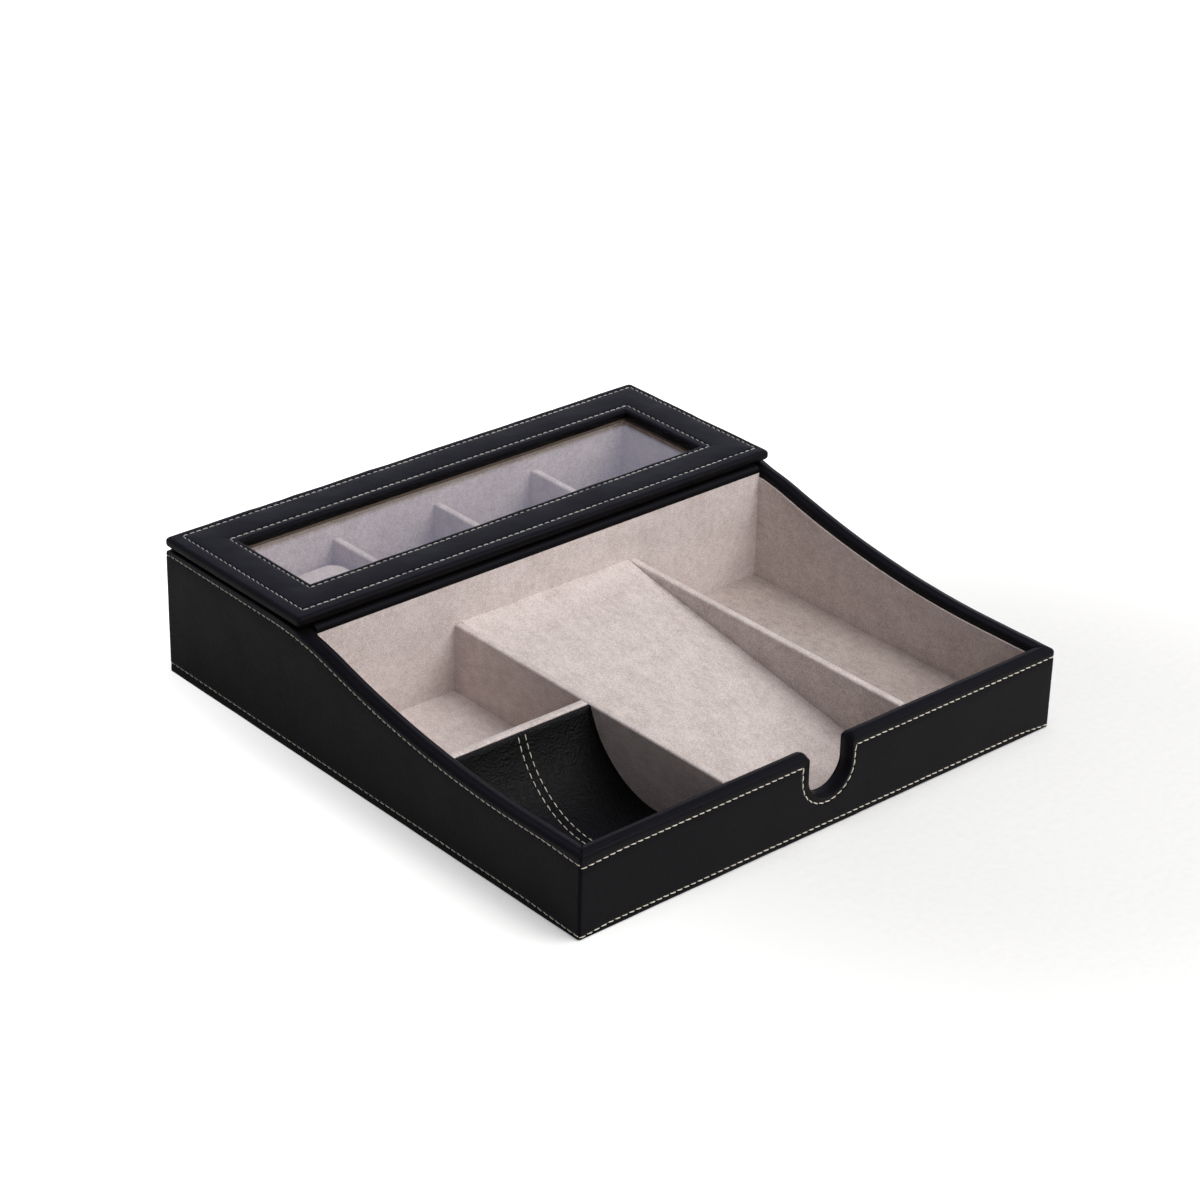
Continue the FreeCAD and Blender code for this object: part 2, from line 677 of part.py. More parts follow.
def bowed(chord, bow):
    """Radius of an arc from its half chord and its rise."""
    return f"(({chord}) ^ 2 + {bow} ^ 2) / (2 * {bow})"


def watch_cushion(index):
    """Watch pillow: crowned, full in the middle, drawn in towards its two sewn ends."""
    label = f"watch_cushion_{index}"
    half_x, half_y = f"({SLOT_WIDTH} / 2 - cushion_gap)", "cushion_depth / 2"
    foot = "(cushion_height * cushion_foot)"
    shoulder = "(cushion_height * cushion_shoulder)"
    crest = f"({half_y} - {shoulder})"
    section = [
        (f"-({half_y} - {foot})", "0"),
        (f"{half_y} - {foot}", "0", foot, -1),
        (half_y, foot),
        (half_y, f"cushion_height - {shoulder}", shoulder, -1),
        (crest, "cushion_height", bowed(crest, "cushion_rise"), -1),
        (f"-{crest}", "cushion_height", shoulder, -1),
        (f"-{half_y}", f"cushion_height - {shoulder}"),
        (f"-{half_y}", foot, foot, -1),
    ]
    corner_x, corner_y = f"({half_x} - cushion_end_bow)", f"({half_y} - cushion_side_bow)"
    side_arc, end_arc = bowed(corner_x, "cushion_side_bow"), bowed(corner_y, "cushion_end_bow")
    plan = [
        (f"-{corner_x}", f"-{corner_y}", side_arc, -1),
        (corner_x, f"-{corner_y}", end_arc, -1),
        (corner_x, corner_y, side_arc, -1),
        (f"-{corner_x}", corner_y, end_arc, -1),
    ]
    top_z = "(cushion_height + cushion_rise - cushion_top_bow)"
    elevation = [
        (f"-{half_x}", "0"),
        (half_x, "0"),
        (half_x, top_z, bowed(half_x, "cushion_top_bow"), -1),
        (f"-{half_x}", top_z),
    ]
    forms = []
    for view, plane, start, corners, length in (
        ("section", "YZ_Plane", f"-{half_x}", section, f"2 * {half_x}"),
        ("plan", "XY_Plane", "0", plan, "2 * cushion_height"),
        ("elevation", "XZ_Plane", f"-{half_y}", elevation, f"2 * {half_y}"),
    ):
        form = new_body(f"{label}_{view}_form")
        pad(form, outline(form, f"{label}_{view}", plane, start, corners), length)
        forms.append(form)
    pillow = doc.addObject("Part::MultiCommon", label)
    pillow.Shapes = forms
    middle = f"{index - (WATCH_SLOTS + 1) / 2} * ({SLOT_WIDTH} + watch_divider)"
    # The first pillow lies near the back of its slot, the others against the front.
    if index == 1:
        depth = f"{LID_MIDDLE} + {BAY_Y} - first_cushion_gap - {half_y}"
    else:
        depth = f"{LID_MIDDLE} - {BAY_Y} + cushion_gap + {half_y}"
    place(pillow, middle, depth, f"{LINED_FLOOR} + cushion_rest")
    doc.recompute()
    return deliver(pillow, label)


def lid(recess):
    """Lid frame board, its leather, the pane and the lined frame that holds the pane."""
    window_x = f"({HALF_W} - lid_bar)"
    window_low = f"({LID_FRONT} + lid_bar)"
    window_high = f"({HALF_D} - lid_bar)"
    top = number("box_height")
    board_bottom = f"({LID_BOTTOM} + lid_leather)"
    edge_x = number(window_x) + 1.5
    edge_low, edge_high = number(window_low) - 1.5, number(window_high) + 1.5

    def of_window(box):
        return max(abs(box.XMin), abs(box.XMax)) < edge_x and box.YMin > edge_low and box.YMax < edge_high

    def level(box):
        return box.ZLength < 1e-4

    board = new_body("lid_board_block")
    pad(board, rounded_rectangle(board, "lid_board_plan", board_bottom, f"({HALF_W} - lid_leather)",
                                 f"({LID_FRONT} + lid_leather)", f"({HALF_D} - lid_leather)",
                                 "(lid_corner - lid_leather)"), "lid_thick - 2 * lid_leather")
    pocket(board, rectangle(board, "lid_board_window", "XY_Plane", board_bottom,
                            (f"-{window_x} - lid_leather", f"{window_low} - lid_leather"),
                            (f"{window_x} + lid_leather", f"{window_high} + lid_leather")), "lid_thick", reverse=True)
    round_edges(board, f"min(lid_ease; (lid_thick - 2 * lid_leather) * {SHARE})",
                lambda box: level(box) and not of_window(box), "Chamfer")
    block = new_body("lid_leather_block")
    pad(block, rounded_rectangle(block, "lid_plan", LID_BOTTOM, HALF_W, LID_FRONT, HALF_D, "lid_corner"), "lid_thick")
    pocket(block, rectangle(block, "lid_window", "XY_Plane", LID_BOTTOM, (f"-{window_x}", window_low),
                            (window_x, window_high)), "lid_thick", reverse=True)
    round_edges(block, f"min(lid_round; lid_thick * {SHARE})", lambda box: level(box) and not of_window(box))
    round_edges(block, "window_round", lambda box: level(box) and of_window(box) and near(box.ZMin, top))
    turn = rectangle(block, "lid_under", "XY_Plane", LID_BOTTOM, (f"-{HALF_W} + lid_turn", f"{LID_FRONT} + lid_turn"),
                     (f"{HALF_W} - lid_turn", f"{HALF_D} - lid_turn"))
    pocket(block, turn, "lid_leather", reverse=True)
    deliver(cut(cut(block, board, "lid_skin"), recess, "lid_leather"), "lid_leather")
    deliver(cut(board, recess, "lid_board"), "lid_board")
    pane_low, pane_high = f"{window_low} - glass_lap", f"{window_high} + glass_lap"
    slab("glass_pane", (f"-{window_x} - glass_lap", pane_low, f"{board_bottom} - glass_thick"),
         (f"{window_x} + glass_lap", pane_high, board_bottom))
    retainer = new_body("lid_retainer")
    inset = f"({WALL} + retainer_play)"
    pad(retainer, rectangle(retainer, "retainer_plan", "XY_Plane", RETAINER_BOTTOM,
                            (f"-{HALF_W} + {inset}", f"{LID_FRONT} + {inset}"),
                            (f"{HALF_W} - {inset}", f"{HALF_D} - {inset}")), "glass_thick + retainer_lip")
    pocket(retainer, rectangle(retainer, "retainer_window", "XY_Plane", RETAINER_BOTTOM, (f"-{window_x}", window_low),
                               (window_x, window_high)), "glass_thick + retainer_lip", reverse=True)
    rebate = rectangle(retainer, "retainer_rebate", "XY_Plane", f"{RETAINER_BOTTOM} + retainer_lip",
                       (f"-{window_x} - glass_lap - glass_play", f"{pane_low} - glass_play"),
                       (f"{window_x} + glass_lap + glass_play", f"{pane_high} + glass_play"))
    pocket(retainer, rebate, "glass_thick", reverse=True)
    deliver(retainer, "lid_retainer")


def hinge_leaf(label, sign, of_lid):
    """One leaf of a hinge: plate with tabs and knuckles bored for the pin."""
    body = new_body(label)
    end, inner = "hinge_length / 2", "lid_knuckle / 2"
    back = "-(barrel_radius + knuckle_gap)"
    gap_edge = f"({inner} + knuckle_gap)"
    plate_low = LEAF_GAP if of_lid else f"-{LEAF_GAP} - leaf_thick"
    if of_lid:
        tabs = [(end, back), (inner, back), (inner, "0"), (f"-{inner}", "0"), (f"-{inner}", back), (f"-{end}", back)]
        knuckles = [(f"-{inner}", "lid_knuckle")]
    else:
        tabs = [(end, "0"), (gap_edge, "0"), (gap_edge, back), (f"-{gap_edge}", back), (f"-{gap_edge}", "0"),
                (f"-{end}", "0")]
        knuckles = [(f"-{end}", f"{end} - {gap_edge}"), (gap_edge, f"{end} - {gap_edge}")]
    corners = [(f"-{end}", "-leaf_width"), (end, "-leaf_width")] + tabs
    pad(body, outline(body, f"{label}_plate", "XY_Plane", plate_low, corners), "leaf_thick")
    for row, (start, length) in enumerate(knuckles, start=1):
        pad(body, circle(body, f"{label}_knuckle_{row}", "YZ_Plane", start, "barrel_radius"), length)
    pocket(body, circle(body, f"{label}_bore", "YZ_Plane", f"{end} + 1", "pin_radius + pin_play"), "hinge_length + 2")
    place(body, f"{sign} * {HINGE_X}", HINGE_Y, HINGE_Z)
    return deliver(body, label)


def hinge_pin(side, sign):
    """Pin through the three knuckles of one hinge."""
    pin = doc.addObject("Part::Cylinder", f"{side}_hinge_pin")
    pin.setExpression("Radius", bound("pin_radius"))
    pin.setExpression("Height", bound("hinge_length"))
    pin.Placement = FreeCAD.Placement(FreeCAD.Vector(), FreeCAD.Rotation(FreeCAD.Vector(0, 1, 0), 90))
    place(pin, f"{sign} * {HINGE_X} - hinge_length / 2", HINGE_Y, HINGE_Z)
    return deliver(pin, f"{side}_hinge_pin")


def hinges():
    """Both butt hinges; returns the tools that let them into the wall and the lid."""
    wall_recess = hinge_recess("wall_recess", f"{RIM_BACK} - leather", f"{RIM_BACK} + 1",
                               f"{HINGE_Z} - barrel_radius - barrel_room", f"{RIM_BACK} + 1")
    lid_recess = hinge_recess("lid_recess", f"{LID_BOTTOM} - 1", f"{LID_BOTTOM} + lid_leather",
                              f"{LID_BOTTOM} - 1", f"{HINGE_Z} + barrel_radius + barrel_room")
    for side, sign in SIDES.items():
        hinge_leaf(f"{side}_hinge_body_leaf", sign, of_lid=False)
        hinge_leaf(f"{side}_hinge_lid_leaf", sign, of_lid=True)
        hinge_pin(side, sign)
    return wall_recess, lid_recess


def check_document():
    """Stop if any object failed or any sub-part has no valid solid."""
    doc.recompute()
    for item in doc.Objects:
        if "Invalid" in item.State or "Error" in item.State:
            raise RuntimeError(f"{item.Name} failed: {item.State}")
    for piece in sub_parts:
        if piece.Shape.isNull() or not piece.Shape.isValid() or not piece.Shape.Solids:
            raise RuntimeError(f"{piece.Label} has no valid solid")


floor()
cover_swing = swing_room("cover_swing", "0")
board_swing = swing_room("board_swing", "leather")
for wall_side, wall_sign in SIDES.items():
    side_wall(wall_side, wall_sign, cover_swing, board_swing)
front_wall()
wall_room, lid_room = hinges()
back_wall(wall_room)
partition()
tray_dividers()
ramp()
scoop_layer("scoop_card", "(scoop_radius + scoop_leather)", "(scoop_radius + scoop_leather + scoop_card)")
scoop_layer("scoop_leather", "scoop_radius", "(scoop_radius + scoop_leather)")
watch_bay()
for cushion_number in range(1, WATCH_SLOTS + 1):
    watch_cushion(cushion_number)
lid(lid_room)
check_document()
os.makedirs("parts", exist_ok=True)
for sub_part in sub_parts:
    sub_part.Shape.exportStep(f"parts/{sub_part.Label}.step")
    bounds = sub_part.Shape.BoundBox
    print(sub_part.Label, len(sub_part.Shape.Solids), round(sub_part.Shape.Volume, 1),
          [round(v, 2) for v in (bounds.XMin, bounds.YMin, bounds.ZMin, bounds.XMax, bounds.YMax, bounds.ZMax)])
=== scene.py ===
"""Desk valet tray with a glass-lidded watch bay: its covers, stitches, linings, cushions and finishes."""
import logging
import math
from collections.abc import Iterable, Sequence
from dataclasses import dataclass, field
from enum import Enum

import bmesh
import bpy
import numpy as np
from mathutils import Matrix, Vector, noise


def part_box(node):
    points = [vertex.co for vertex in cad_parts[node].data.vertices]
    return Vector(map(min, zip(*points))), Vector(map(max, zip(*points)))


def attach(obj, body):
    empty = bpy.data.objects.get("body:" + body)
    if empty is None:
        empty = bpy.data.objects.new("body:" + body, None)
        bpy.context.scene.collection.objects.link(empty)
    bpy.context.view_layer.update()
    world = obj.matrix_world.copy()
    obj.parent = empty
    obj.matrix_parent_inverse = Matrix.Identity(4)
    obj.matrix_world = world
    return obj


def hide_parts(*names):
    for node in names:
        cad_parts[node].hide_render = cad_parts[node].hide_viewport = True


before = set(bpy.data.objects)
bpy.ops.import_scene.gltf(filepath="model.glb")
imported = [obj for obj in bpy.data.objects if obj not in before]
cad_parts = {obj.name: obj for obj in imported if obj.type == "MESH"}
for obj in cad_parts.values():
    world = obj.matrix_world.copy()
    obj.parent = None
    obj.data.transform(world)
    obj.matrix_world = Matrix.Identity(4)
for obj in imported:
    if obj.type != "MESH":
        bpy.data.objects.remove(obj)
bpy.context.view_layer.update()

LOG = logging.getLogger("valet_tray")
MM = 0.001
TINY = 1e-9
Colour = tuple[float, float, float]
Place = tuple[float, float, float]
Scale = tuple[float, float, float]
Pair = tuple[float, float]
Array = np.ndarray
Mesh = bpy.types.Mesh
Socket = bpy.types.NodeSocket
Material = bpy.types.Material
Piece = bpy.types.Object
Room = tuple[Vector, Vector]


def tone(red: int, green: int, blue: int) -> Colour:
    """Linear colour from the red, green and blue of a screen, 0 to 255."""
    shares = [level / 255 for level in (red, green, blue)]
    return tuple(s / 12.92 if s <= 0.04045 else ((s + 0.055) / 1.055) ** 2.4 for s in shares)


def ease(share: Array) -> Array:
    """Smooth step from 0 to 1."""
    held = np.clip(share, 0, 1)
    return held * held * (3 - 2 * held)


@dataclass(frozen=True)
class Wave:
    """Soft hills and hollows of a hand-laid surface."""

    rise: float
    size: float
    seed: float

    def at(self, points: Array, turn: float = 0.0) -> Array:
        """Heights of the surface.

        Args:
            points: places, in any array whose last axis is x, y, z.
            turn: moves the pattern.

        Returns:
            One height for each place.
        """
        seed = self.seed + turn
        shift = Vector((seed, 2 * seed, 3 * seed))
        flat = points.reshape(-1, 3) / self.size
        heights = [noise.noise(Vector(place) + shift) for place in flat]
        return self.rise * np.array(heights).reshape(points.shape[:-1])


def look(place: Place, aim: Place) -> Matrix:
    """Place and turn of a camera or lamp that looks from one point at another."""
    turn = (Vector(aim) - Vector(place)).to_track_quat("-Z", "Y").to_matrix().to_4x4()
    return Matrix.Translation(place) @ turn


def linked(name: str, data: bpy.types.ID) -> Piece:
    """New object with this data, linked to the scene.

    Args:
        name: name of the object.
        data: its mesh, lamp or camera.

    Returns:
        The object.
    """
    piece = bpy.data.objects.new(name, data)
    bpy.context.scene.collection.objects.link(piece)
    return piece


def smooth(mesh: Mesh) -> None:
    """Shade every face smoothly."""
    mesh.polygons.foreach_set("use_smooth", [True] * len(mesh.polygons))


def read_points(mesh: Mesh) -> Array:
    """Places of a mesh's points, as rows of x, y, z.

    Args:
        mesh: the mesh.

    Returns:
        One row for each point.
    """
    places = np.empty(len(mesh.vertices) * 3)
    mesh.vertices.foreach_get("co", places)
    return places.reshape(-1, 3)


def write_points(mesh: Mesh, places: Array) -> None:
    """Move a mesh's points to these places."""
    mesh.vertices.foreach_set("co", places.ravel())


class Body(Enum):
    """What a piece moves with."""

    BASE = "base"
    LID = "lid"


class Slot(Enum):
    """Material slots named for new pieces; nothing in this script reads them."""

    LEATHER = "leather"
    SUEDE = "suede"
    STEEL = "steel"


class Wiring:
    """Node tree with short ways to add and link its nodes."""

    def __init__(self, tree: bpy.types.NodeTree) -> None:
        """Start from an empty tree."""
        self.tree = tree
        self.tree.nodes.clear()

    def feed(self, socket: Socket, value: object) -> None:
        """Set a socket to a constant or link it to another node's output.

        Args:
            socket: input to set.
            value: constant, or output to link.
        """
        if isinstance(value, Socket):
            self.tree.links.new(value, socket)
        elif isinstance(value, tuple) and len(value) == 3 and socket.type == "RGBA":
            socket.default_value = (*value, 1)
        else:
            socket.default_value = value

    def node(self, kind: str, values: dict[str | int, object] | None = None,
             **settings: object) -> bpy.types.Node:
        """Add a node.

        Args:
            kind: Blender's name of the node type.
            values: constants or outputs for its inputs.
            settings: its own settings.

        Returns:
            The new node.
        """
        added = self.tree.nodes.new(kind)
        for key, value in settings.items():
            setattr(added, key, value)
        for key, value in (values or {}).items():
            self.feed(added.inputs[key], value)
        return added

    def ramp(self, factor: Socket, *stops: tuple[float, Colour]) -> Socket:
        """Colours along a factor.

        Args:
            factor: output to follow.
            stops: places from 0 to 1 with their colours.

        Returns:
            The colour.
        """
        added = self.node("ShaderNodeValToRGB", {"Fac": factor})
        elements = added.color_ramp.elements
        while len(elements) < len(stops):
            elements.new(1)
        for element, (place, colour) in zip(elements, stops):
            element.position = place
            element.color = (*colour, 1)
        return added.outputs["Color"]

    def fade(self, factor: Socket, span: Pair, levels: Pair, **settings: object) -> Socket:
        """Values that go from one level to another along a span of a factor."""
        values = {"Value": factor, "From Min": span[0], "From Max": span[1],
                  "To Min": levels[0], "To Max": levels[1]}
        return self.node("ShaderNodeMapRange", values, **settings).outputs["Result"]

    def seen(self, *kinds: str) -> Socket:
        """Output that is 1 for the rays of these kinds and 0 for the rest.

        Args:
            kinds: names of the light path's outputs.

        Returns:
            The output.
        """
        rays = self.node("ShaderNodeLightPath").outputs
        either = rays[kinds[0]]
        for kind in kinds[1:]:
            both = {0: either, 1: rays[kind]}
            either = self.node("ShaderNodeMath", both, operation="MAXIMUM").outputs[0]
        return either


class Shader(Wiring):
    """Material with one surface shader."""

    noise_middle: Pair = (0.3, 0.7)
    grain_softness: float = 0.4

    def __init__(self, name: str) -> None:
        """Start the material.

        Args:
            name: name of the material.
        """
        self.material = bpy.data.materials.new(name)
        self.material.use_nodes = True
        super().__init__(self.material.node_tree)
        self.output = self.node("ShaderNodeOutputMaterial")
        self.surface = self.node("ShaderNodeBsdfPrincipled")
        self.feed(self.output.inputs["Surface"], self.surface.outputs[0])
        self.place = self.node("ShaderNodeTexCoord").outputs["Object"]

    def dress(self, **values: object) -> None:
        """Set inputs of the surface shader, with underscores for the spaces of their names."""
        for key, value in values.items():
            self.feed(self.surface.inputs[key.replace("_", " ")], value)

    def clouds(self, size: float, detail: float = 3.0, stretch: Scale = (1, 1, 1)) -> Socket:
        """Noise whose blotches are about as wide as the size.

        Args:
            size: width of a blotch.
            detail: number of finer layers in it.
            stretch: how many times narrower the blotches are along x, y and z.

        Returns:
            The noise, from 0 to 1.
        """
        scaled = self.node("ShaderNodeMapping", {"Vector": self.place, "Scale": stretch})
        values = {"Vector": scaled.outputs[0], "Scale": 1 / size, "Detail": detail}
        return self.node("ShaderNodeTexNoise", values).outputs["Fac"]

    def cells(self, size: float) -> Socket:
        """Rounded grains, low in the middle and high at their edges."""
        values = {"Vector": self.place, "Scale": 1 / size, "Smoothness": self.grain_softness}
        return self.node("ShaderNodeTexVoronoi", values, feature="SMOOTH_F1").outputs["Distance"]

    def spread(self, factor: Socket, low: float, high: float) -> Socket:
        """Values from low to high along the middle part of a noise."""
        return self.fade(factor, self.noise_middle, (low, high))

    def blend(self, first: Socket, second: Socket, share: float) -> Socket:
        """First plus a share of the second."""
        values = {0: second, 1: share, 2: first}
        return self.node("ShaderNodeMath", values, operation="MULTIPLY_ADD").outputs[0]

    def tones(self, factor: Socket, span: Pair, dark: Colour, light: Colour) -> Socket:
        """Colours from dark to light along a span of a noise."""
        return self.ramp(factor, (span[0], dark), (span[1], light))

    def bump(self, height: Socket, depth: float, strength: float) -> None:
        """Rough up the surface."""
        values = {"Height": height, "Distance": depth, "Strength": strength}
        self.dress(Normal=self.node("ShaderNodeBump", values).outputs["Normal"])


@dataclass(frozen=True)
class Leather:
    """Smooth black leather with a fine rounded grain."""

    name: str = "black_leather"
    dark: Colour = tone(9, 8, 8)
    light: Colour = tone(14, 12, 12)
    sheen_tint: Colour = (0.72, 0.76, 1.0)
    shine: float = 0.065
    rough_low: float = 0.34
    rough_high: float = 0.46
    grain: float = 0.75 * MM
    grain_depth: float = 0.12 * MM
    grain_strength: float = 0.6
    patch: float = 22 * MM
    patch_span: Pair = (0.3, 0.75)
    pore: float = 0.5 * MM
    pore_share: float = 0.5
    crease: float = 5 * MM
    crease_share: float = 0.7

    def material(self) -> Material:
        """Build the finish as a node material.

        Returns:
            The material.
        """
        shader = Shader(self.name)
        patches = shader.clouds(self.patch, detail=4)
        pores = shader.clouds(self.pore, detail=2)
        grain = shader.blend(shader.cells(self.grain), pores, self.pore_share)
        creases = shader.blend(grain, shader.clouds(self.crease, detail=3), self.crease_share)
        shader.dress(Base_Color=shader.tones(patches, self.patch_span, self.dark, self.light),
                     Roughness=shader.spread(patches, self.rough_low, self.rough_high),
                     Specular_IOR_Level=self.shine, Specular_Tint=(*self.sheen_tint, 1))
        shader.bump(creases, self.grain_depth, self.grain_strength)
        return shader.material


@dataclass(frozen=True)
class Suede:
    """Beige suede with a short brushed nap."""

    name: str = "beige_suede"
    dark: Colour = tone(180, 166, 162)
    light: Colour = tone(227, 217, 214)
    speck: float = 0.7 * MM
    stroke: float = 3.2 * MM
    sheen: float = 0.10
    nap_depth: float = 0.16 * MM
    nap_strength: float = 0.35
    stroke_share: float = 0.35
    stroke_stretch: Scale = (1, 0.55, 1)
    patch: float = 16 * MM
    patch_share: float = 0.30
    mottle_span: Pair = (0.58, 1.07)
    fibre: float = 0.35 * MM
    fibre_share: float = 0.6

    def material(self) -> Material:
        """Build the finish as a node material.

        Returns:
            The material.
        """
        shader = Shader(self.name)
        specks = shader.clouds(self.speck, detail=4)
        strokes = shader.clouds(self.stroke, detail=5, stretch=self.stroke_stretch)
        patches = shader.clouds(self.patch, detail=4)
        mottle = shader.blend(shader.blend(specks, strokes, self.stroke_share), patches, self.patch_share)
        shader.dress(Base_Color=shader.tones(mottle, self.mottle_span, self.dark, self.light),
                     Roughness=0.95, Specular_IOR_Level=0.1, Sheen_Weight=self.sheen, Sheen_Roughness=0.6,
                     Sheen_Tint=(*self.light, 1))
        nap = shader.blend(specks, shader.clouds(self.fibre, detail=2), self.fibre_share)
        shader.bump(nap, self.nap_depth, self.nap_strength)
        return shader.material


@dataclass(frozen=True)
class Felt:
    """Thin black felt under the box."""

    name: str = "black_felt"
    dark: Colour = tone(18, 18, 19)
    light: Colour = tone(38, 38, 40)
    fibre: float = 0.9 * MM
    fibre_span: Pair = (0.35, 0.7)
    fibre_stretch: Scale = (1, 2.5, 1)
    nap_depth: float = 0.3 * MM
    nap_strength: float = 0.7

    def material(self) -> Material:
        """Build the finish as a node material.

        Returns:
            The material.
        """
        shader = Shader(self.name)
        fibres = shader.clouds(self.fibre, detail=6, stretch=self.fibre_stretch)
        shader.dress(Base_Color=shader.tones(fibres, self.fibre_span, self.dark, self.light), Roughness=1.0,
                     Specular_IOR_Level=0.05, Sheen_Weight=0.2, Sheen_Roughness=0.7)
        shader.bump(fibres, self.nap_depth, self.nap_strength)
        return shader.material


@dataclass(frozen=True)
class Thread:
    """Waxed off-white sewing thread."""

    name: str = "cream_thread"
    dark: Colour = tone(190, 182, 168)
    light: Colour = tone(240, 233, 218)
    ply: float = 0.5 * MM
    ply_span: Pair = (0.3, 0.65)
    ply_depth: float = 0.15 * MM
    ply_strength: float = 0.6

    def material(self) -> Material:
        """Build the finish as a node material.

        Returns:
            The material.
        """
        shader = Shader(self.name)
        plies = shader.clouds(self.ply, detail=3)
        shader.dress(Base_Color=shader.tones(plies, self.ply_span, self.dark, self.light), Roughness=0.75,
                     Specular_IOR_Level=0.2)
        shader.bump(plies, self.ply_depth, self.ply_strength)
        return shader.material


@dataclass(frozen=True)
class Glass:
    """Clear polished pane."""

    name: str = "clear_glass"
    tint: Colour = (1.0, 0.985, 0.95)
    shade: Colour = (0.96, 0.96, 0.96)
    smear: float = 60 * MM
    haze: float = 0.03

    def material(self) -> Material:
        """Build the finish as a node material that lets lamp light through to the watch bay.

        Returns:
            The material.
        """
        shader = Shader(self.name)
        smears = shader.clouds(self.smear, detail=3)
        shader.dress(Base_Color=self.tint, Roughness=shader.spread(smears, 0.0, self.haze), IOR=1.5,
                     Transmission_Weight=1.0)
        passing = shader.seen("Is Shadow Ray", "Is Diffuse Ray")
        clear = shader.node("ShaderNodeBsdfTransparent", {"Color": self.shade})
        choice = {0: passing, 1: shader.surface.outputs[0], 2: clear.outputs[0]}
        mixed = shader.node("ShaderNodeMixShader", choice)
        shader.feed(shader.output.inputs["Surface"], mixed.outputs[0])
        return shader.material


@dataclass(frozen=True)
class Steel:
    """Brushed nickel-plated steel of the hinges."""

    name: str = "brushed_steel"
    dark: Colour = (0.44, 0.44, 0.45)
    light: Colour = (0.66, 0.66, 0.67)
    line: float = 0.4 * MM
    line_stretch: Scale = (0.05, 1, 1)
    line_depth: float = 0.03 * MM
    line_strength: float = 0.4
    rough_low: float = 0.22
    rough_high: float = 0.42

    def material(self) -> Material:
        """Build the finish as a node material.

        Returns:
            The material.
        """
        shader = Shader(self.name)
        lines = shader.clouds(self.line, detail=4, stretch=self.line_stretch)
        shader.dress(Base_Color=shader.tones(lines, shader.noise_middle, self.dark, self.light),
                     Metallic=1.0, Roughness=shader.spread(lines, self.rough_low, self.rough_high))
        shader.bump(lines, self.line_depth, self.line_strength)
        return shader.material


@dataclass(frozen=True)
class Board:
    """Pressed fibre board or plain card under the covers."""

    name: str = "fibre_board"
    dark: Colour = tone(84, 62, 42)
    light: Colour = tone(120, 92, 64)
    fibre: float = 1.4 * MM
    fibre_stretch: Scale = (1, 1, 3)
    fibre_depth: float = 0.15 * MM
    fibre_strength: float = 0.5

    def material(self) -> Material:
        """Build the finish as a node material.

        Returns:
            The material.
        """
        shader = Shader(self.name)
        fibres = shader.clouds(self.fibre, detail=6, stretch=self.fibre_stretch)
        shader.dress(Base_Color=shader.tones(fibres, shader.noise_middle, self.dark, self.light),
                     Roughness=0.9, Specular_IOR_Level=0.15)
        shader.bump(fibres, self.fibre_depth, self.fibre_strength)
        return shader.material


@dataclass
class Workshop:
    """Finishes built once, and the last steps that every piece goes through."""

    leather: Material = field(default_factory=Leather().material)
    # Black leather with a coarser pebbled grain for the coin scoop; its darker base colour is painted shade
    # for the scoop's low bottom.
    shaded_grain: Material = field(default_factory=Leather(
        "shaded_grain_leather", dark=tone(4, 4, 4), light=tone(7, 7, 7), sheen_tint=(1.0, 0.97, 0.86),
        shine=0.11, rough_low=0.30, rough_high=0.40, grain=1.15 * MM, grain_depth=0.35 * MM,
        grain_strength=1.0).material)
    suede: Material = field(default_factory=Suede().material)
    # Darker copy of the beige suede, used on the slot floor: painted shade for the deep slot between the
    # walls.
    shaded_floor_suede: Material = field(default_factory=Suede(
        "shaded_floor_suede", dark=tone(148, 133, 128), light=tone(198, 186, 181)).material)
    # Darker copy of the beige suede, used on the lid retainer: painted shade for the strip under the
    # window's rear edge.
    shaded_retainer_suede: Material = field(default_factory=Suede(
        "shaded_retainer_suede", dark=tone(94, 82, 74), light=tone(118, 105, 96)).material)
    felt: Material = field(default_factory=Felt().material)
    thread: Material = field(default_factory=Thread().material)
    grey_thread: Material = field(default_factory=Thread(
        "grey_thread", dark=tone(150, 149, 147), light=tone(206, 205, 201)).material)
    glass: Material = field(default_factory=Glass().material)
    steel: Material = field(default_factory=Steel().material)
    board: Material = field(default_factory=Board().material)
    # Near-black copy of the fibre board for the wall and partition boards: painted shade where it shows in
    # the gaps between the covers.
    gap_shade_board: Material = field(default_factory=Board(
        "gap_shade_board", dark=tone(12, 11, 11), light=tone(20, 18, 17)).material)
    sharp_angle: float = math.radians(32)
    bevel_angle: float = math.radians(40)

    def finish_node(self, node: str, material: Material, bevel: float = 0.0) -> None:
        """Dress a piece of the frame.

        Args:
            node: its name.
            material: its finish.
            bevel: width that its sharp edges are softened by.
        """
        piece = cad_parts[node]
        piece.data.materials.clear()
        piece.data.materials.append(material)
        smooth(piece.data)
        piece.data.set_sharp_from_angle(angle=self.sharp_angle)
        if bevel:
            softened = piece.modifiers.new("soft_edges", "BEVEL")
            softened.width = bevel
            softened.segments = 2
            softened.limit_method = "ANGLE"
            softened.angle_limit = self.bevel_angle
        LOG.info("dressed %s with %s", node, material.name)

    def add_piece(self, piece: Piece, material: Material, body: Body, slot: Slot,
                  replaced: Sequence[str] = ()) -> Piece:
        """Give a new piece its finish and body.

        Args:
            piece: the new object, in place.
            material: its finish.
            body: what it moves with.
            slot: not used.
            replaced: nodes of the frame that it stands for.

        Returns:
            The same object.
        """
        piece.data.materials.clear()
        piece.data.materials.append(material)
        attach(piece, body.value)
        if replaced:
            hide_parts(*replaced)
        LOG.info("built %s on %s", piece.name, body.value)
        return piece


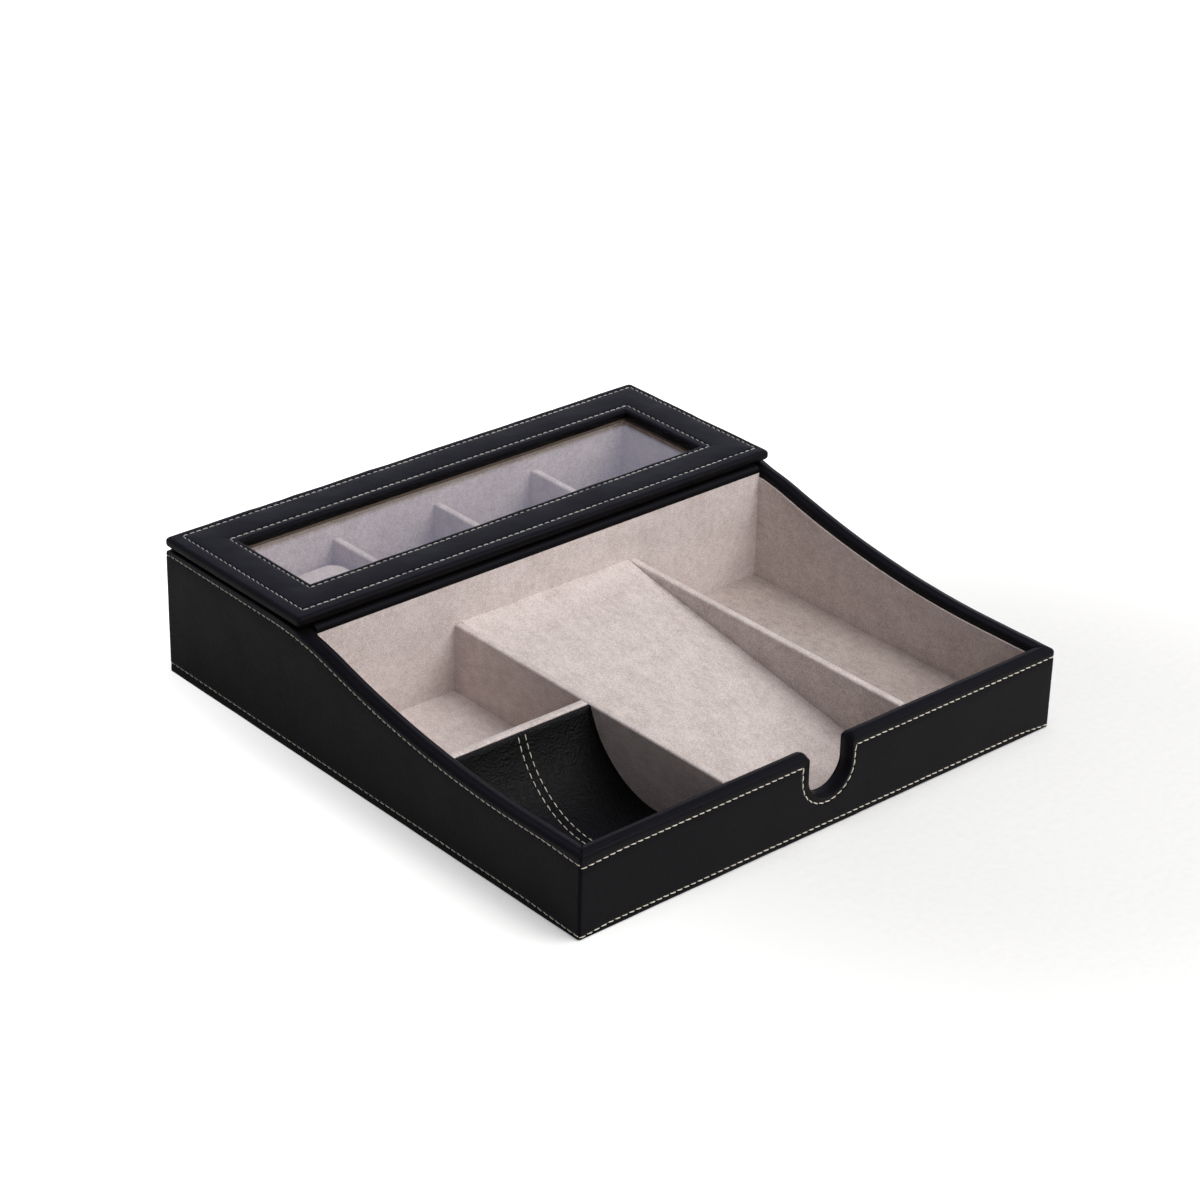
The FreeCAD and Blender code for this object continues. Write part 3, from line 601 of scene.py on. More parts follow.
def mesh_object(name: str, points: Array, faces: Iterable[Sequence[int]]) -> Piece:
    """Smooth-shaded mesh with its faces turned outwards.

    Args:
        name: name of the object.
        points: rows of x, y, z.
        faces: corners of each face, as places in the points.

    Returns:
        The object, linked to the scene.
    """
    mesh = bpy.data.meshes.new(name)
    mesh.from_pydata([tuple(point) for point in points], [], [tuple(face) for face in faces])
    form = bmesh.new()
    form.from_mesh(mesh)
    bmesh.ops.recalc_face_normals(form, faces=form.faces)
    form.to_mesh(mesh)
    form.free()
    smooth(mesh)
    return linked(name, mesh)


def grid_faces(rows: int, columns: int, ring: bool = False) -> list[list[int]]:
    """Quads between the points of a grid.

    Args:
        rows: number of rows.
        columns: points in a row.
        ring: whether the last column joins the first.

    Returns:
        Corners of each quad, as places in the rows of points laid end to end.
    """
    faces = []
    for row in range(rows - 1):
        for column in range(columns if ring else columns - 1):
            beside = (column + 1) % columns
            faces.append([row * columns + column, row * columns + beside,
                          (row + 1) * columns + beside, (row + 1) * columns + column])
    return faces


def skin_object(name: str, outer: Array, normals: Array, thickness: float, ring: bool = False) -> Piece:
    """Closed skin of even thickness under a grid of points.

    Args:
        name: name of the object.
        outer: points of the outer face, as rows, columns, x y z.
        normals: outward directions at the points.
        thickness: how far the inner face lies below.
        ring: whether the last column joins the first.

    Returns:
        The object.
    """
    rows, columns = outer.shape[:2]
    inner = outer - normals * thickness
    points = np.concatenate([outer.reshape(-1, 3), inner.reshape(-1, 3)])
    below = rows * columns
    faces = []
    for corners in grid_faces(rows, columns, ring):
        faces.append(corners)
        faces.append([corner + below for corner in reversed(corners)])
    rim = [[row * columns + column for column in range(columns)] for row in (0, rows - 1)]
    if ring:
        rim = [line + line[:1] for line in rim]
    else:
        rim += [[row * columns + column for row in range(rows)] for column in (0, columns - 1)]
    for line in rim:
        for first, second in zip(line, line[1:]):
            faces.append([first, second, second + below, first + below])
    return mesh_object(name, points, faces)


def cut_rooms(piece: Piece, rooms: Sequence[Room]) -> None:
    """Cut boxes out of a piece.

    Args:
        piece: mesh to cut.
        rooms: lowest and highest corners of the boxes.
    """
    for low, high in rooms:
        corners = [(x, y, z) for x in (low.x, high.x) for y in (low.y, high.y) for z in (low.z, high.z)]
        faces = [(0, 1, 3, 2), (4, 5, 7, 6), (0, 1, 5, 4), (2, 3, 7, 6), (0, 2, 6, 4), (1, 3, 7, 5)]
        tool = mesh_object("room", np.array(corners), faces)
        cutting = piece.modifiers.new("room", "BOOLEAN")
        cutting.operation = "DIFFERENCE"
        cutting.solver = "EXACT"
        cutting.object = tool
        settle(piece)
        bpy.data.objects.remove(tool)


def settle(piece: Piece) -> None:
    """Apply a piece's modifiers to its mesh.

    Args:
        piece: mesh with modifiers.
    """
    graph = bpy.context.evaluated_depsgraph_get()
    shaped = bpy.data.meshes.new_from_object(piece.evaluated_get(graph))
    piece.modifiers.clear()
    piece.data = shaped


@dataclass(frozen=True)
class Sewing:
    """Rows of slanted stitches of waxed thread."""

    pitch: float = 4.2 * MM
    fill: float = 0.9
    radius: float = 0.29 * MM
    slant: float = math.radians(7)
    sides: int = 6
    sunk: float = 0.20 * MM
    arch: float = 0.34 * MM
    half_rings: tuple[Pair, ...] = ((0, 1), (0.45, 1), (0.86, 0.8), (1, 0.35))

    @property
    def length(self) -> float:
        """Length of one stitch."""
        return self.pitch * self.fill

    def template(self) -> tuple[Array, list[list[int]]]:
        """One stitch along x with z away from the leather.

        Returns:
            Its points and its faces.
        """
        turns = np.arange(self.sides) / self.sides * 2 * math.pi
        points = []
        mirrored = [(-along, fullness) for along, fullness in self.half_rings[:0:-1]]
        for along, fullness in (*mirrored, *self.half_rings):
            lift = self.arch * (1 - along ** 2) - self.sunk
            for turn in turns:
                points.append((along * self.length / 2, self.radius * fullness * math.cos(turn),
                               lift + self.radius * fullness * math.sin(turn)))
        rings = len(points) // self.sides
        ends = [list(range(self.sides)), list(range((rings - 1) * self.sides, rings * self.sides))]
        return np.array(points), ends + grid_faces(rings, self.sides, ring=True)

    def row(self, name: str, lines: Sequence[tuple[Array, Array]]) -> Piece:
        """Sew along lines on a surface.

        Args:
            name: name of the row.
            lines: points along each line, and the surface's normals there.

        Returns:
            One object with every stitch of the row.
        """
        pattern, pattern_faces = self.template()
        points: list[Array] = []
        faces: list[list[int]] = []
        for line, normals in lines:
            lengths = np.concatenate([[0], np.cumsum(np.linalg.norm(np.diff(line, axis=0), axis=1))])
            count = max(1, round(lengths[-1] / self.pitch))
            for middle in (np.arange(count) + 0.5) * lengths[-1] / count:
                ends = [np.array([np.interp(place, lengths, line[:, axis]) for axis in range(3)])
                        for place in (middle - self.length / 2, middle + self.length / 2)]
                up = np.array([np.interp(middle, lengths, normals[:, axis]) for axis in range(3)])
                up /= np.linalg.norm(up)
                chord = ends[1] - ends[0]
                chord -= up * chord.dot(up)
                chord /= np.linalg.norm(chord)
                across = np.cross(up, chord)
                forward = chord * math.cos(self.slant) - across * math.sin(self.slant)
                sideways = np.cross(up, forward)
                centre = (ends[0] + ends[1]) / 2
                start = len(points) * len(pattern)
                points.append(centre + pattern @ np.array([forward, sideways, up]))
                faces += [[corner + start for corner in face] for face in pattern_faces]
        return mesh_object(name, np.concatenate(points), faces)


@dataclass(frozen=True)
class SideCurve:
    """Top edge of a side wall: level at the back, a crown, a long sweep, level at the front."""

    back_height: float
    front_height: float
    start: float
    crown_radius: float = 180 * MM
    sweep_radius: float = 528 * MM

    def at(self, along: Array) -> tuple[Array, Array]:
        """Height and slope of the edge.

        Args:
            along: places from front to back.

        Returns:
            Heights and slope angles there.
        """
        fall = self.back_height - self.front_height
        turn = math.acos(1 - fall / (self.crown_radius + self.sweep_radius))
        knee = self.start - self.crown_radius * math.sin(turn)
        foot = self.start - (self.crown_radius + self.sweep_radius) * math.sin(turn)
        crown = np.clip((self.start - along) / self.crown_radius, 0, math.sin(turn))
        sweep = np.clip((along - foot) / self.sweep_radius, 0, math.sin(turn))
        on_crown = self.back_height - self.crown_radius * (1 - np.sqrt(1 - crown ** 2))
        on_sweep = self.front_height + self.sweep_radius * (1 - np.sqrt(1 - sweep ** 2))
        height = np.where(along > knee, on_crown, on_sweep)
        slope = np.where(along > knee, np.arcsin(crown), np.arcsin(sweep))
        return height, slope


@dataclass
class Crest:
    """Top edge of a wall, as stations in the wall's own plane."""

    along: Array
    up: Array
    normal_along: Array
    normal_up: Array
    foot: Array
    roll: Array
    share: Array
    flat: float = field(default=0.0, kw_only=True)

    def below(self, drop: Array | float, notch_drop: Array | float) -> tuple[Array, Array]:
        """Places under the edge, square to it.

        Args:
            drop: distance from the edge.
            notch_drop: not used, as this edge has no notch.

        Returns:
            Where the places lie along and up the wall.
        """
        return self.along - self.normal_along * drop, self.up - self.normal_up * drop


@dataclass
class NotchedCrest(Crest):
    """Top edge with a notch, whose lower lines turn square corners at the notch's shoulders."""

    shoulder: float
    pivot: Pair
    spring: float
    least_bend: float = 0.25 * MM

    def below(self, drop: Array | float, notch_drop: Array | float) -> tuple[Array, Array]:
        """Places under the edge, square to it.

        Args:
            drop: distance from the straight edge.
            notch_drop: distance from the notch's edge.

        Returns:
            Where the places lie along and up the wall.
        """
        distance = np.where(self.share > 0, notch_drop, drop)
        along = self.along - self.normal_along * distance
        up = self.up - self.normal_up * distance
        top = self.pivot[1]
        start = np.minimum(top, top + self.shoulder - drop - self.least_bend)
        squeezed = self.spring + (self.up - self.spring) * (start - self.spring) / (top - self.spring)
        up = np.where((self.share == 1) & (self.up > self.spring), squeezed, up)
        bend_along = np.maximum(self.shoulder - notch_drop, self.least_bend)
        bend_up = np.maximum(self.shoulder - drop, self.least_bend)
        inward = self.shoulder - notch_drop - bend_along * (1 - np.abs(self.normal_along))
        bent_along = np.sign(self.along) * (self.pivot[0] - inward)
        bent_up = self.pivot[1] + self.shoulder - drop - bend_up * (1 - self.normal_up)
        on_shoulder = (self.share > 0) & (self.share < 1)
        return np.where(on_shoulder, bent_along, along), np.where(on_shoulder, bent_up, up)


@dataclass
class Sweep:
    """Rows of points that a cover's section leaves along a crest."""

    crest: Crest
    points: list[Array] = field(default_factory=list)
    normals: list[Array] = field(default_factory=list)
    grooves: list[Array] = field(default_factory=list)

    def add(self, along: Array, depth: Array | float, up: Array | float, out: float, rise: float,
            at_crest: bool = False, sunk: Array | float = 0.0) -> None:
        """Add one row.

        Args:
            along: places along the wall.
            depth: distance in from the wall's face.
            up: heights.
            out: share of the outward direction that leaves the face.
            rise: share of it that leaves the edge.
            at_crest: whether the rise follows the edge's slope.
            sunk: how far a stitch row draws the leather in.
        """
        flat = np.zeros_like(self.crest.along)
        self.points.append(np.column_stack([along, flat + depth, flat + up]))
        lean = self.crest.normal_along * rise if at_crest else flat
        lift = self.crest.normal_up * rise if at_crest else flat + rise
        self.normals.append(np.column_stack([lean, flat - out, lift]))
        self.grooves.append(flat + sunk)


class Wall(Enum):
    """Outer walls, by the way that they face: across x or y, and the sign of that axis."""

    LEFT = ("left", 0, -1)
    RIGHT = ("right", 0, 1)
    FRONT = ("front", 1, -1)
    BACK = ("back", 1, 1)

    def to_box(self, local: Array, half: Pair, is_direction: bool = False) -> Array:
        """Turn places along, into and up a wall into places of the box.

        Args:
            local: along, depth, up on the last axis.
            half: half width and half depth of the box.
            is_direction: whether these are directions.

        Returns:
            x, y, z on the last axis.
        """
        _, axis, sign = self.value
        face = 0 if is_direction else sign * half[axis]
        turned = np.empty_like(local)
        turned[..., axis] = face - sign * local[..., 1]
        turned[..., 1 - axis] = local[..., 0]
        turned[..., 2] = local[..., 2]
        return turned


@dataclass
class Shell:
    """Stitched leather covers of the four walls, rolled over the rim, and what they wrap."""

    shop: Workshop
    sewing: Sewing = field(default_factory=Sewing)
    side_sewing: Sewing = field(default_factory=lambda: Sewing(pitch=3.9 * MM))
    notch_width: float = 27 * MM
    notch_floor: float = 18.7 * MM
    notch_shoulder: float = 3.5 * MM
    fall_start: float = 90.5 * MM
    roll: float = 2.8 * MM
    roll_under_lid: float = 1.0 * MM
    lid_reach: float = 12 * MM
    rear_bevel: float = 2.6 * MM
    bevel_share: float = 0.6
    notch_roll: float = 1.1 * MM
    notch_inner_roll: float = 0.6 * MM
    inner_roll: float = 2.2 * MM
    crown: float = 0.6 * MM
    lining_ledge: float = 0.9 * MM
    lining_gap: float = 0.1 * MM
    turn_down: float = 6.2 * MM
    side_stitch_drop: float = 4.5 * MM
    side_stitch_rise: float = 1.0 * MM
    front_stitch_drop: float = 5.7 * MM
    front_stitch_tilt: float = 0.6 * MM
    back_stitch_drop: float = 5.0 * MM
    rim_dip: float = 1.2 * MM
    rim_dip_reach: float = 30 * MM
    notch_stitch_drop: float = 3.7 * MM
    notch_stitch_lean: float = 1.0 * MM
    side_foot_stitch: float = 4.7 * MM
    side_foot_tilt: float = 0.8 * MM
    front_foot_stitch: float = 3.05 * MM
    foot_dip: float = 1.5 * MM
    side_foot_reach: float = 45 * MM
    front_foot_reach: float = 22 * MM
    seam_margin: float = 0.5 * MM
    foot_round: float = 0.6 * MM
    foot_turn: float = 1.3 * MM
    foot_reach: float = 0.95 * MM
    corner_round: float = 0.8 * MM
    corner_turn: float = math.radians(75)
    seam_gap: float = 0.10 * MM
    seam_depths: Pair = (0.5 * MM, 1.3 * MM)
    seam_lap: float = 0.3 * MM
    skin: float = 0.8 * MM
    groove_depth: float = 0.28 * MM
    groove_width: float = 0.55 * MM
    spacing: float = 3.0 * MM
    foot_steps: int = 5
    wall_steps: int = 9
    roll_steps: int = 10
    crown_shares: tuple[float, ...] = (0.25, 0.5, 0.75)
    inner_steps: int = 9
    shoulder_steps: int = 12
    notch_steps: int = 7
    bowl_steps: int = 19
    stitch_stations: int = 121
    end_shares: tuple[float, ...] = (0, 0.2, 0.4, 0.6, 0.8, 1, 2, 3.5, 6, 9)
    foot_rows: tuple[float, ...] = (-0.45, -0.2, 0, 0.2, 0.45, 0.9, 1.6, 3)
    rim_rows: tuple[float, ...] = (0.9, 0.55, 0.25, 0, -0.25, -0.55, -0.9)
    ledge_fade: float = 2 * MM
    mitre_reach: float = 16 * MM
    notch_stitch_room: float = 1 * MM
    broad_wave: Wave = Wave(rise=0.11 * MM, size=26 * MM, seed=3.1)
    small_wave: Wave = Wave(rise=0.05 * MM, size=9 * MM, seed=7.7)
    notch_fold: Wave = Wave(rise=0.20 * MM, size=1.7 * MM, seed=1.3)
    fold_stretch: float = 4.0
    least_lean: float = 0.05
    hinge_play: float = 0.3 * MM
    rim_plays: int = 4
    leaf_room: float = 1.0 * MM
    barrel_room: float = 1.1 * MM

    def __post_init__(self) -> None:
        """Read the walls' faces and heights from the frame."""
        low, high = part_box("left_leather")
        self.half = (-low.x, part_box("back_leather")[1].y)
        self.thick = high.x - low.x
        self.bottom = low.z - self.foot_reach
        self.tray_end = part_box("partition_lining")[0].y
        self.back_height = high.z
        self.front_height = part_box("front_leather")[1].z
        self.lid_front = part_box("lid_leather")[0].y

    def stations(self, half: float) -> Array:
        """Places along a wall, close together at its two ends.

        Args:
            half: half of the wall's length.

        Returns:
            The places, from end to end.
        """
        near_end = np.array(self.end_shares) * self.corner_round
        inside = half - near_end[-1]
        middle = np.linspace(-inside, inside, round(2 * inside / self.spacing))[1:-1]
        return np.concatenate([-half + near_end, middle, half - near_end[::-1]])

    def behind(self, along: Array, half: float) -> Array:
        """How far the bevel at a side wall's rear end drops the edge."""
        return np.clip(along - half + self.rear_bevel, 0, None)

    def straight_crest(self, wall: Wall) -> Crest:
        """Top edge of a side wall or the back wall.

        Args:
            wall: the wall.

        Returns:
            Its edge.
        """
        half = self.half[1] if wall in (Wall.LEFT, Wall.RIGHT) else self.half[0]
        along = self.stations(half)
        if wall is Wall.BACK:
            level = np.zeros_like(along)
            return Crest(along, level + self.back_height, level, level + 1, along.copy(),
                         level + self.rear_bevel, level, flat=1.0)
        curve = SideCurve(self.back_height, self.front_height, self.half[1] - self.fall_start)
        up, slope = curve.at(along)
        up = up - self.behind(along, half)
        under_lid = ease((along - self.lid_front) / self.lid_reach + 0.5)
        roll = self.roll + (self.roll_under_lid - self.roll) * under_lid
        return Crest(along, up, -np.sin(slope), np.cos(slope), along.copy(), roll, np.zeros_like(along))

    def front_crest(self) -> NotchedCrest:
        """Top edge of the front wall, down into the notch and up again.

        Returns:
            The edge, from left to right.
        """
        half_notch = self.notch_width / 2
        middle = self.notch_floor + half_notch
        shoulder = self.notch_shoulder
        edge = half_notch + shoulder
        stitch_side = self.notch_stitch_drop + self.notch_stitch_lean + self.notch_stitch_room
        clear = half_notch + max(shoulder, stitch_side) + self.spacing / 3
        straight = self.stations(self.half[0])
        straight = straight[straight < -clear]
        level = np.zeros_like(straight)
        runs = [np.column_stack([straight, level + self.front_height, level, level])]
        turns = np.linspace(0, math.pi / 2, self.shoulder_steps)[1:-1]
        fall = shoulder * (1 - np.cos(turns))
        runs.append(np.column_stack([-edge + shoulder * np.sin(turns), self.front_height - fall,
                                     turns, turns / (math.pi / 2)]))
        drop = np.linspace(self.front_height - shoulder, middle, self.notch_steps)[:-1]
        runs.append(np.column_stack([0 * drop - half_notch, drop, 0 * drop + math.pi / 2, 0 * drop + 1]))
        bowl = np.linspace(0, math.pi / 2, self.bowl_steps)
        runs.append(np.column_stack([-half_notch * np.cos(bowl), middle - half_notch * np.sin(bowl),
                                     math.pi / 2 - bowl, 0 * bowl + 1]))
        left = np.concatenate(runs)
        right = left[-2::-1] * np.array([-1, 1, -1, 1])
        path = np.concatenate([left, right])
        steps = np.linalg.norm(np.diff(path[:, :2], axis=0), axis=1)
        travelled = np.concatenate([[0], np.cumsum(steps)])
        spread = (travelled / travelled[-1] * 2 - 1) * self.half[0]
        reach = ease((np.abs(path[:, 0]) - edge) / (self.half[0] - edge))
        foot = spread * (1 - reach) + path[:, 0] * reach
        return NotchedCrest(path[:, 0], path[:, 1], np.sin(path[:, 2]), np.cos(path[:, 2]),
                            foot, np.full(len(path), self.roll), path[:, 3],
                            shoulder, (edge, self.front_height - shoulder), middle)

    def groove(self, distance: float) -> float:
        """Depth that a stitch row draws the leather in, at a distance from the row."""
        return self.groove_depth * math.exp(-(distance / self.groove_width) ** 2)

    def rim_drops(self, wall: Wall, crest: Crest) -> tuple[Array, Array]:
        """Distances of the upper stitch row below the edge.

        Args:
            wall: the wall.
            crest: its top edge.

        Returns:
            Distances below the straight edge and below the notch's edge.
        """
        half = self.half[1 - wall.value[1]]
        along = crest.along
        towards_front = self.rim_dip * ease(1 - (along + half) / self.rim_dip_reach)
        if wall is Wall.BACK:
            drop = np.full_like(along, self.back_stitch_drop)
        elif wall is Wall.FRONT:
            drop = self.front_stitch_drop - self.front_stitch_tilt * along / half + towards_front
        else:
            under_lid = ease((along - self.lid_front) / (half - self.lid_front))
            drop = self.side_stitch_drop - self.side_stitch_rise * under_lid + towards_front
            drop = drop - self.bevel_share * self.behind(along, half)
        lean = np.where(crest.share < 1, -np.sign(along), crest.normal_along)
        return drop, self.notch_stitch_drop + self.notch_stitch_lean * lean

    def foot_height(self, wall: Wall, along: Array) -> Array:
        """Height of the lower stitch row, which dips towards the front corners.

        Args:
            wall: the wall.
            along: places along it.

        Returns:
            Heights there.
        """
        half = self.half[1 - wall.value[1]]
        if wall is Wall.BACK:
            return np.full_like(along, self.side_foot_stitch + self.side_foot_tilt)
        if wall is Wall.FRONT:
            near_corner = ease(1 - (half - np.abs(along)) / self.front_foot_reach)
            return self.front_foot_stitch - self.foot_dip * near_corner
        near_corner = ease(1 - (along + half) / self.side_foot_reach)
        return self.side_foot_stitch + self.side_foot_tilt * along / half - self.foot_dip * near_corner

    def lining_edge(self, wall: Wall, crest: Crest) -> Array:
        """Depth of the cover's inner face, behind the lining's top edge in the tray and flush elsewhere.

        Args:
            wall: the wall.
            crest: its top edge.

        Returns:
            Depths along the edge.
        """
        if wall is Wall.FRONT:
            ledge = np.ones_like(crest.along)
        elif wall is Wall.BACK:
            ledge = np.zeros_like(crest.along)
        else:
            ledge = ease((self.tray_end - crest.along) / self.ledge_fade)
        return self.thick - self.lining_gap - (self.lining_ledge - self.lining_gap) * ledge

    def section(self, wall: Wall, crest: Crest) -> Sweep:
        """Sweep the cover's section along a crest, from its foot over the rim to the lining.

        Args:
            wall: the wall.
            crest: its top edge.

        Returns:
            The rows of points with their outward directions and grooves.
        """
        sweep = Sweep(crest)
        sweep.add(crest.foot, self.foot_turn, self.bottom, 0, -1)
        for angle in np.linspace(-math.pi / 2, 0, self.foot_steps):
            out, rise = math.cos(angle), math.sin(angle)
            sweep.add(crest.foot, self.foot_round * (1 - out), self.bottom + self.foot_round * (1 + rise),
                      out, rise)
        foot = self.foot_height(wall, crest.foot)
        for step in np.array(self.foot_rows) * MM:
            sweep.add(crest.foot, 0, foot + step, 1, 0, sunk=self.groove(step))
        top_of_foot = sweep.points[-1]
        drop, notch_drop = self.rim_drops(wall, crest)
        steps = np.array(self.rim_rows) * MM
        band_along, band_up = crest.below(drop + steps[0], notch_drop + steps[0])
        for share in np.linspace(0, 1, self.wall_steps)[1:-1]:
            sweep.add(top_of_foot[:, 0] * (1 - share) + band_along * share, 0,
                      top_of_foot[:, 2] * (1 - share) + band_up * share, 1, 0)
        for step in steps:
            along, up = crest.below(drop + step, notch_drop + step)
            sweep.add(along, 0, up, 1, 0, sunk=self.groove(step))
        self.roll_over(sweep, self.lining_edge(wall, crest))
        return sweep

    def roll_over(self, sweep: Sweep, back: Array) -> None:
        """Take the section over the rim and down behind the lining.

        Args:
            sweep: the section so far.
            back: depth of the cover's inner face.
        """
        crest = sweep.crest
        outer = crest.roll * (1 - crest.share) + self.notch_roll * crest.share
        inner = self.inner_roll * (1 - crest.share) + self.notch_inner_roll * crest.share
        for angle in np.linspace(0, math.pi / 2, self.roll_steps):
            level = angle / (math.pi / 2)
            fall = (1 - math.sin(angle)) * (1 - crest.flat) + (1 - level) * crest.flat
            reach = (1 - math.cos(angle)) * (1 - crest.flat) + level * crest.flat
            along, up = crest.below(self.crown + (crest.roll - self.crown) * fall,
                                    self.crown + (self.notch_roll - self.crown) * fall)
            sweep.add(along, outer * reach, up, math.cos(angle), math.sin(angle), True)
        for share in self.crown_shares:
            drop = self.crown * (1 - 4 * share * (1 - share))
            along, up = crest.below(drop, drop)
            sweep.add(along, outer * (1 - share) + (back - inner) * share, up, 0, 1, True)
        for angle in np.linspace(math.pi / 2, 0, self.inner_steps):
            fall = 1 - math.sin(angle)
            along, up = crest.below(self.crown + (self.inner_roll - self.crown) * fall,
                                    self.crown + (self.notch_inner_roll - self.crown) * fall)
            inwards = math.cos(angle)
            sweep.add(along, back - inner * (1 - inwards), up, -inwards, math.sin(angle), True)
        along, up = crest.below(self.turn_down, self.turn_down)
        sweep.add(along, back, up, -1, 0, True)

    def mitre(self, points: Array, normals: Array, half: float) -> tuple[Array, Array]:
        """Bring both ends to the diagonals of the box's corners, with their edges turned into the seam.

        Args:
            points: along, depth, up, as rows and stations.
            normals: outward directions.
            half: half of the wall's length.

        Returns:
            The points and directions, with two more stations at each end.
        """
        shaped = points.copy()
        side = np.sign(points[..., 0])
        gap = half - np.abs(points[..., 0])
        angle = np.clip(1 - gap / self.corner_round, 0, 1) * self.corner_turn
        facing = -normals[..., 1]
        out, inward = np.clip(facing, 0, 1), np.clip(-facing, 0, 1)
        mouth = self.corner_round * (out * (1 - math.cos(self.corner_turn)) + math.sin(self.corner_turn))
        blend = ease(1 - gap / self.mitre_reach)
        straight = gap + (mouth - self.corner_round) * blend
        inset = np.where(angle > 0, mouth - self.corner_round * np.sin(angle), straight)
        inset += (gap - inset) * inward
        shaped[..., 0] = side * (half - inset - (points[..., 1] + self.seam_gap) * blend)
        sunk = self.corner_round * (1 - np.cos(angle)) * (1 - inward)
        shaped[..., 1] -= sunk * normals[..., 1]
        shaped[..., 2] -= sunk * np.clip(normals[..., 2], 0, 1)
        lips = []
        for column in (0, -1):
            for depth, lap in zip(self.seam_depths, (0, self.seam_lap)):
                lip = shaped[:, column] - normals[:, column] * depth
                lip[:, 0] -= side[:, column] * (facing[:, column] * depth - lap)
                lips.append(lip[:, None])
        stretched = np.concatenate([lips[1], lips[0], shaped, lips[2], lips[3]], axis=1)
        ends = [normals[:, :1]] * 2, [normals[:, -1:]] * 2
        return stretched, np.concatenate([*ends[0], normals, *ends[1]], axis=1)

    def cover(self, wall: Wall) -> None:
        """Build the leather of one wall and its two stitch rows.

        Args:
            wall: the wall.
        """
        name, axis, _ = wall.value
        half = self.half[1 - axis]
        crest = self.front_crest() if wall is Wall.FRONT else self.straight_crest(wall)
        sweep = self.section(wall, crest)
        local, facing, grooves = (np.array(rows) for rows in (sweep.points, sweep.normals, sweep.grooves))
        soft = self.broad_wave.at(local, len(name)) + self.small_wave.at(local)
        lengthwise = np.broadcast_to(crest.foot, local.shape[:2]) / self.fold_stretch
        folds = self.notch_fold.at(np.stack([lengthwise, local[..., 1], 0 * grooves], axis=-1))
        on_rim = np.abs(facing[..., 2]) + np.abs(facing[..., 0]) > self.least_lean
        raised = soft + folds * crest.share * on_rim - grooves
        local = local + facing * raised[..., None]
        stretched, directions = self.mitre(local, facing, half)
        outer = wall.to_box(stretched, self.half)
        normals = wall.to_box(directions, self.half, is_direction=True)
        piece = skin_object(f"{name}_cover", outer, normals, self.skin)
        if wall is Wall.BACK:
            cut_rooms(piece, self.hinge_rooms())
        self.shop.add_piece(piece, self.shop.leather, Body.BASE, Slot.LEATHER, [f"{name}_leather"])
        self.sew(wall, crest)

    def hinge_rooms(self) -> list[Room]:
        """Room in the back cover for each hinge's leaf and barrel.

        Returns:
            Boxes to cut out.
        """
        rooms = []
        for side in ("left", "right"):
            low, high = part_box(f"{side}_hinge_body_leaf")
            pin_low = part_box(f"{side}_hinge_pin")[0]
            play = Vector((self.hinge_play,) * 3)
            top = Vector((high.x, high.y, self.back_height)) + play * self.rim_plays
            rooms.append((Vector((low.x, low.y, high.z - self.leaf_room)) - play, top))
            rooms.append((Vector((low.x, pin_low.y - self.barrel_room, low.z)) - play, top))
        return rooms

    def rim_lines(self, wall: Wall, crest: Crest) -> list[Array]:
        """Lines of the upper stitch row, broken at the notch's shoulders.

        Args:
            wall: the wall.
            crest: its top edge.

        Returns:
            Places along and up the wall for each line.
        """
        half = self.half[1 - wall.value[1]]
        along, up = crest.below(*self.rim_drops(wall, crest))
        path = np.column_stack([along, up])
        inside = np.abs(along) < half - self.seam_margin
        in_notch = crest.share > 0
        if not in_notch.any():
            return [path[inside]]
        notch = path[in_notch]
        left, right = (path[~in_notch & inside & (np.sign(along) == side)] for side in (-1, 1))
        return [np.vstack([left, notch[:1]]), notch, np.vstack([notch[-1:], right])]

    def sew(self, wall: Wall, crest: Crest) -> None:
        """Sew the rows below the rim and above the foot of one wall.

        Args:
            wall: the wall.
            crest: its top edge.
        """
        name, axis, _ = wall.value
        on_side = wall in (Wall.LEFT, Wall.RIGHT)
        along = np.linspace(-1, 1, self.stitch_stations) * (self.half[1 - axis] - self.seam_margin)
        foot = np.column_stack([along, self.foot_height(wall, along)])
        rows = {"rim": (self.rim_lines(wall, crest), self.side_sewing if on_side else self.sewing),
                "foot": ([foot], self.sewing)}
        for where, (lines, sewing) in rows.items():
            placed = []
            for line in lines:
                local = np.column_stack([line[:, 0], 0 * line[:, 0] + self.groove_depth, line[:, 1]])
                facing = np.zeros_like(local)
                facing[:, 1] = -1
                ways = wall.to_box(facing, self.half, is_direction=True)
                placed.append((wall.to_box(local, self.half), ways))
            stitches = sewing.row(f"{name}_{where}_stitches", placed)
            self.shop.add_piece(stitches, self.shop.thread, Body.BASE, Slot.LEATHER)

    def build(self) -> None:
        """Build the covers and dress the boards under them."""
        for wall in Wall:
            self.cover(wall)
            # Wall and partition boards take the near-black board: painted shade in the gaps between the
            # covers.
            self.shop.finish_node(f"{wall.value[0]}_board", self.shop.gap_shade_board)
        self.shop.finish_node("partition_board", self.shop.gap_shade_board)
        self.shop.finish_node("base_board", self.shop.board)
        self.shop.finish_node("base_cover", self.shop.felt)
        self.shop.finish_node("partition_leather", self.shop.leather)


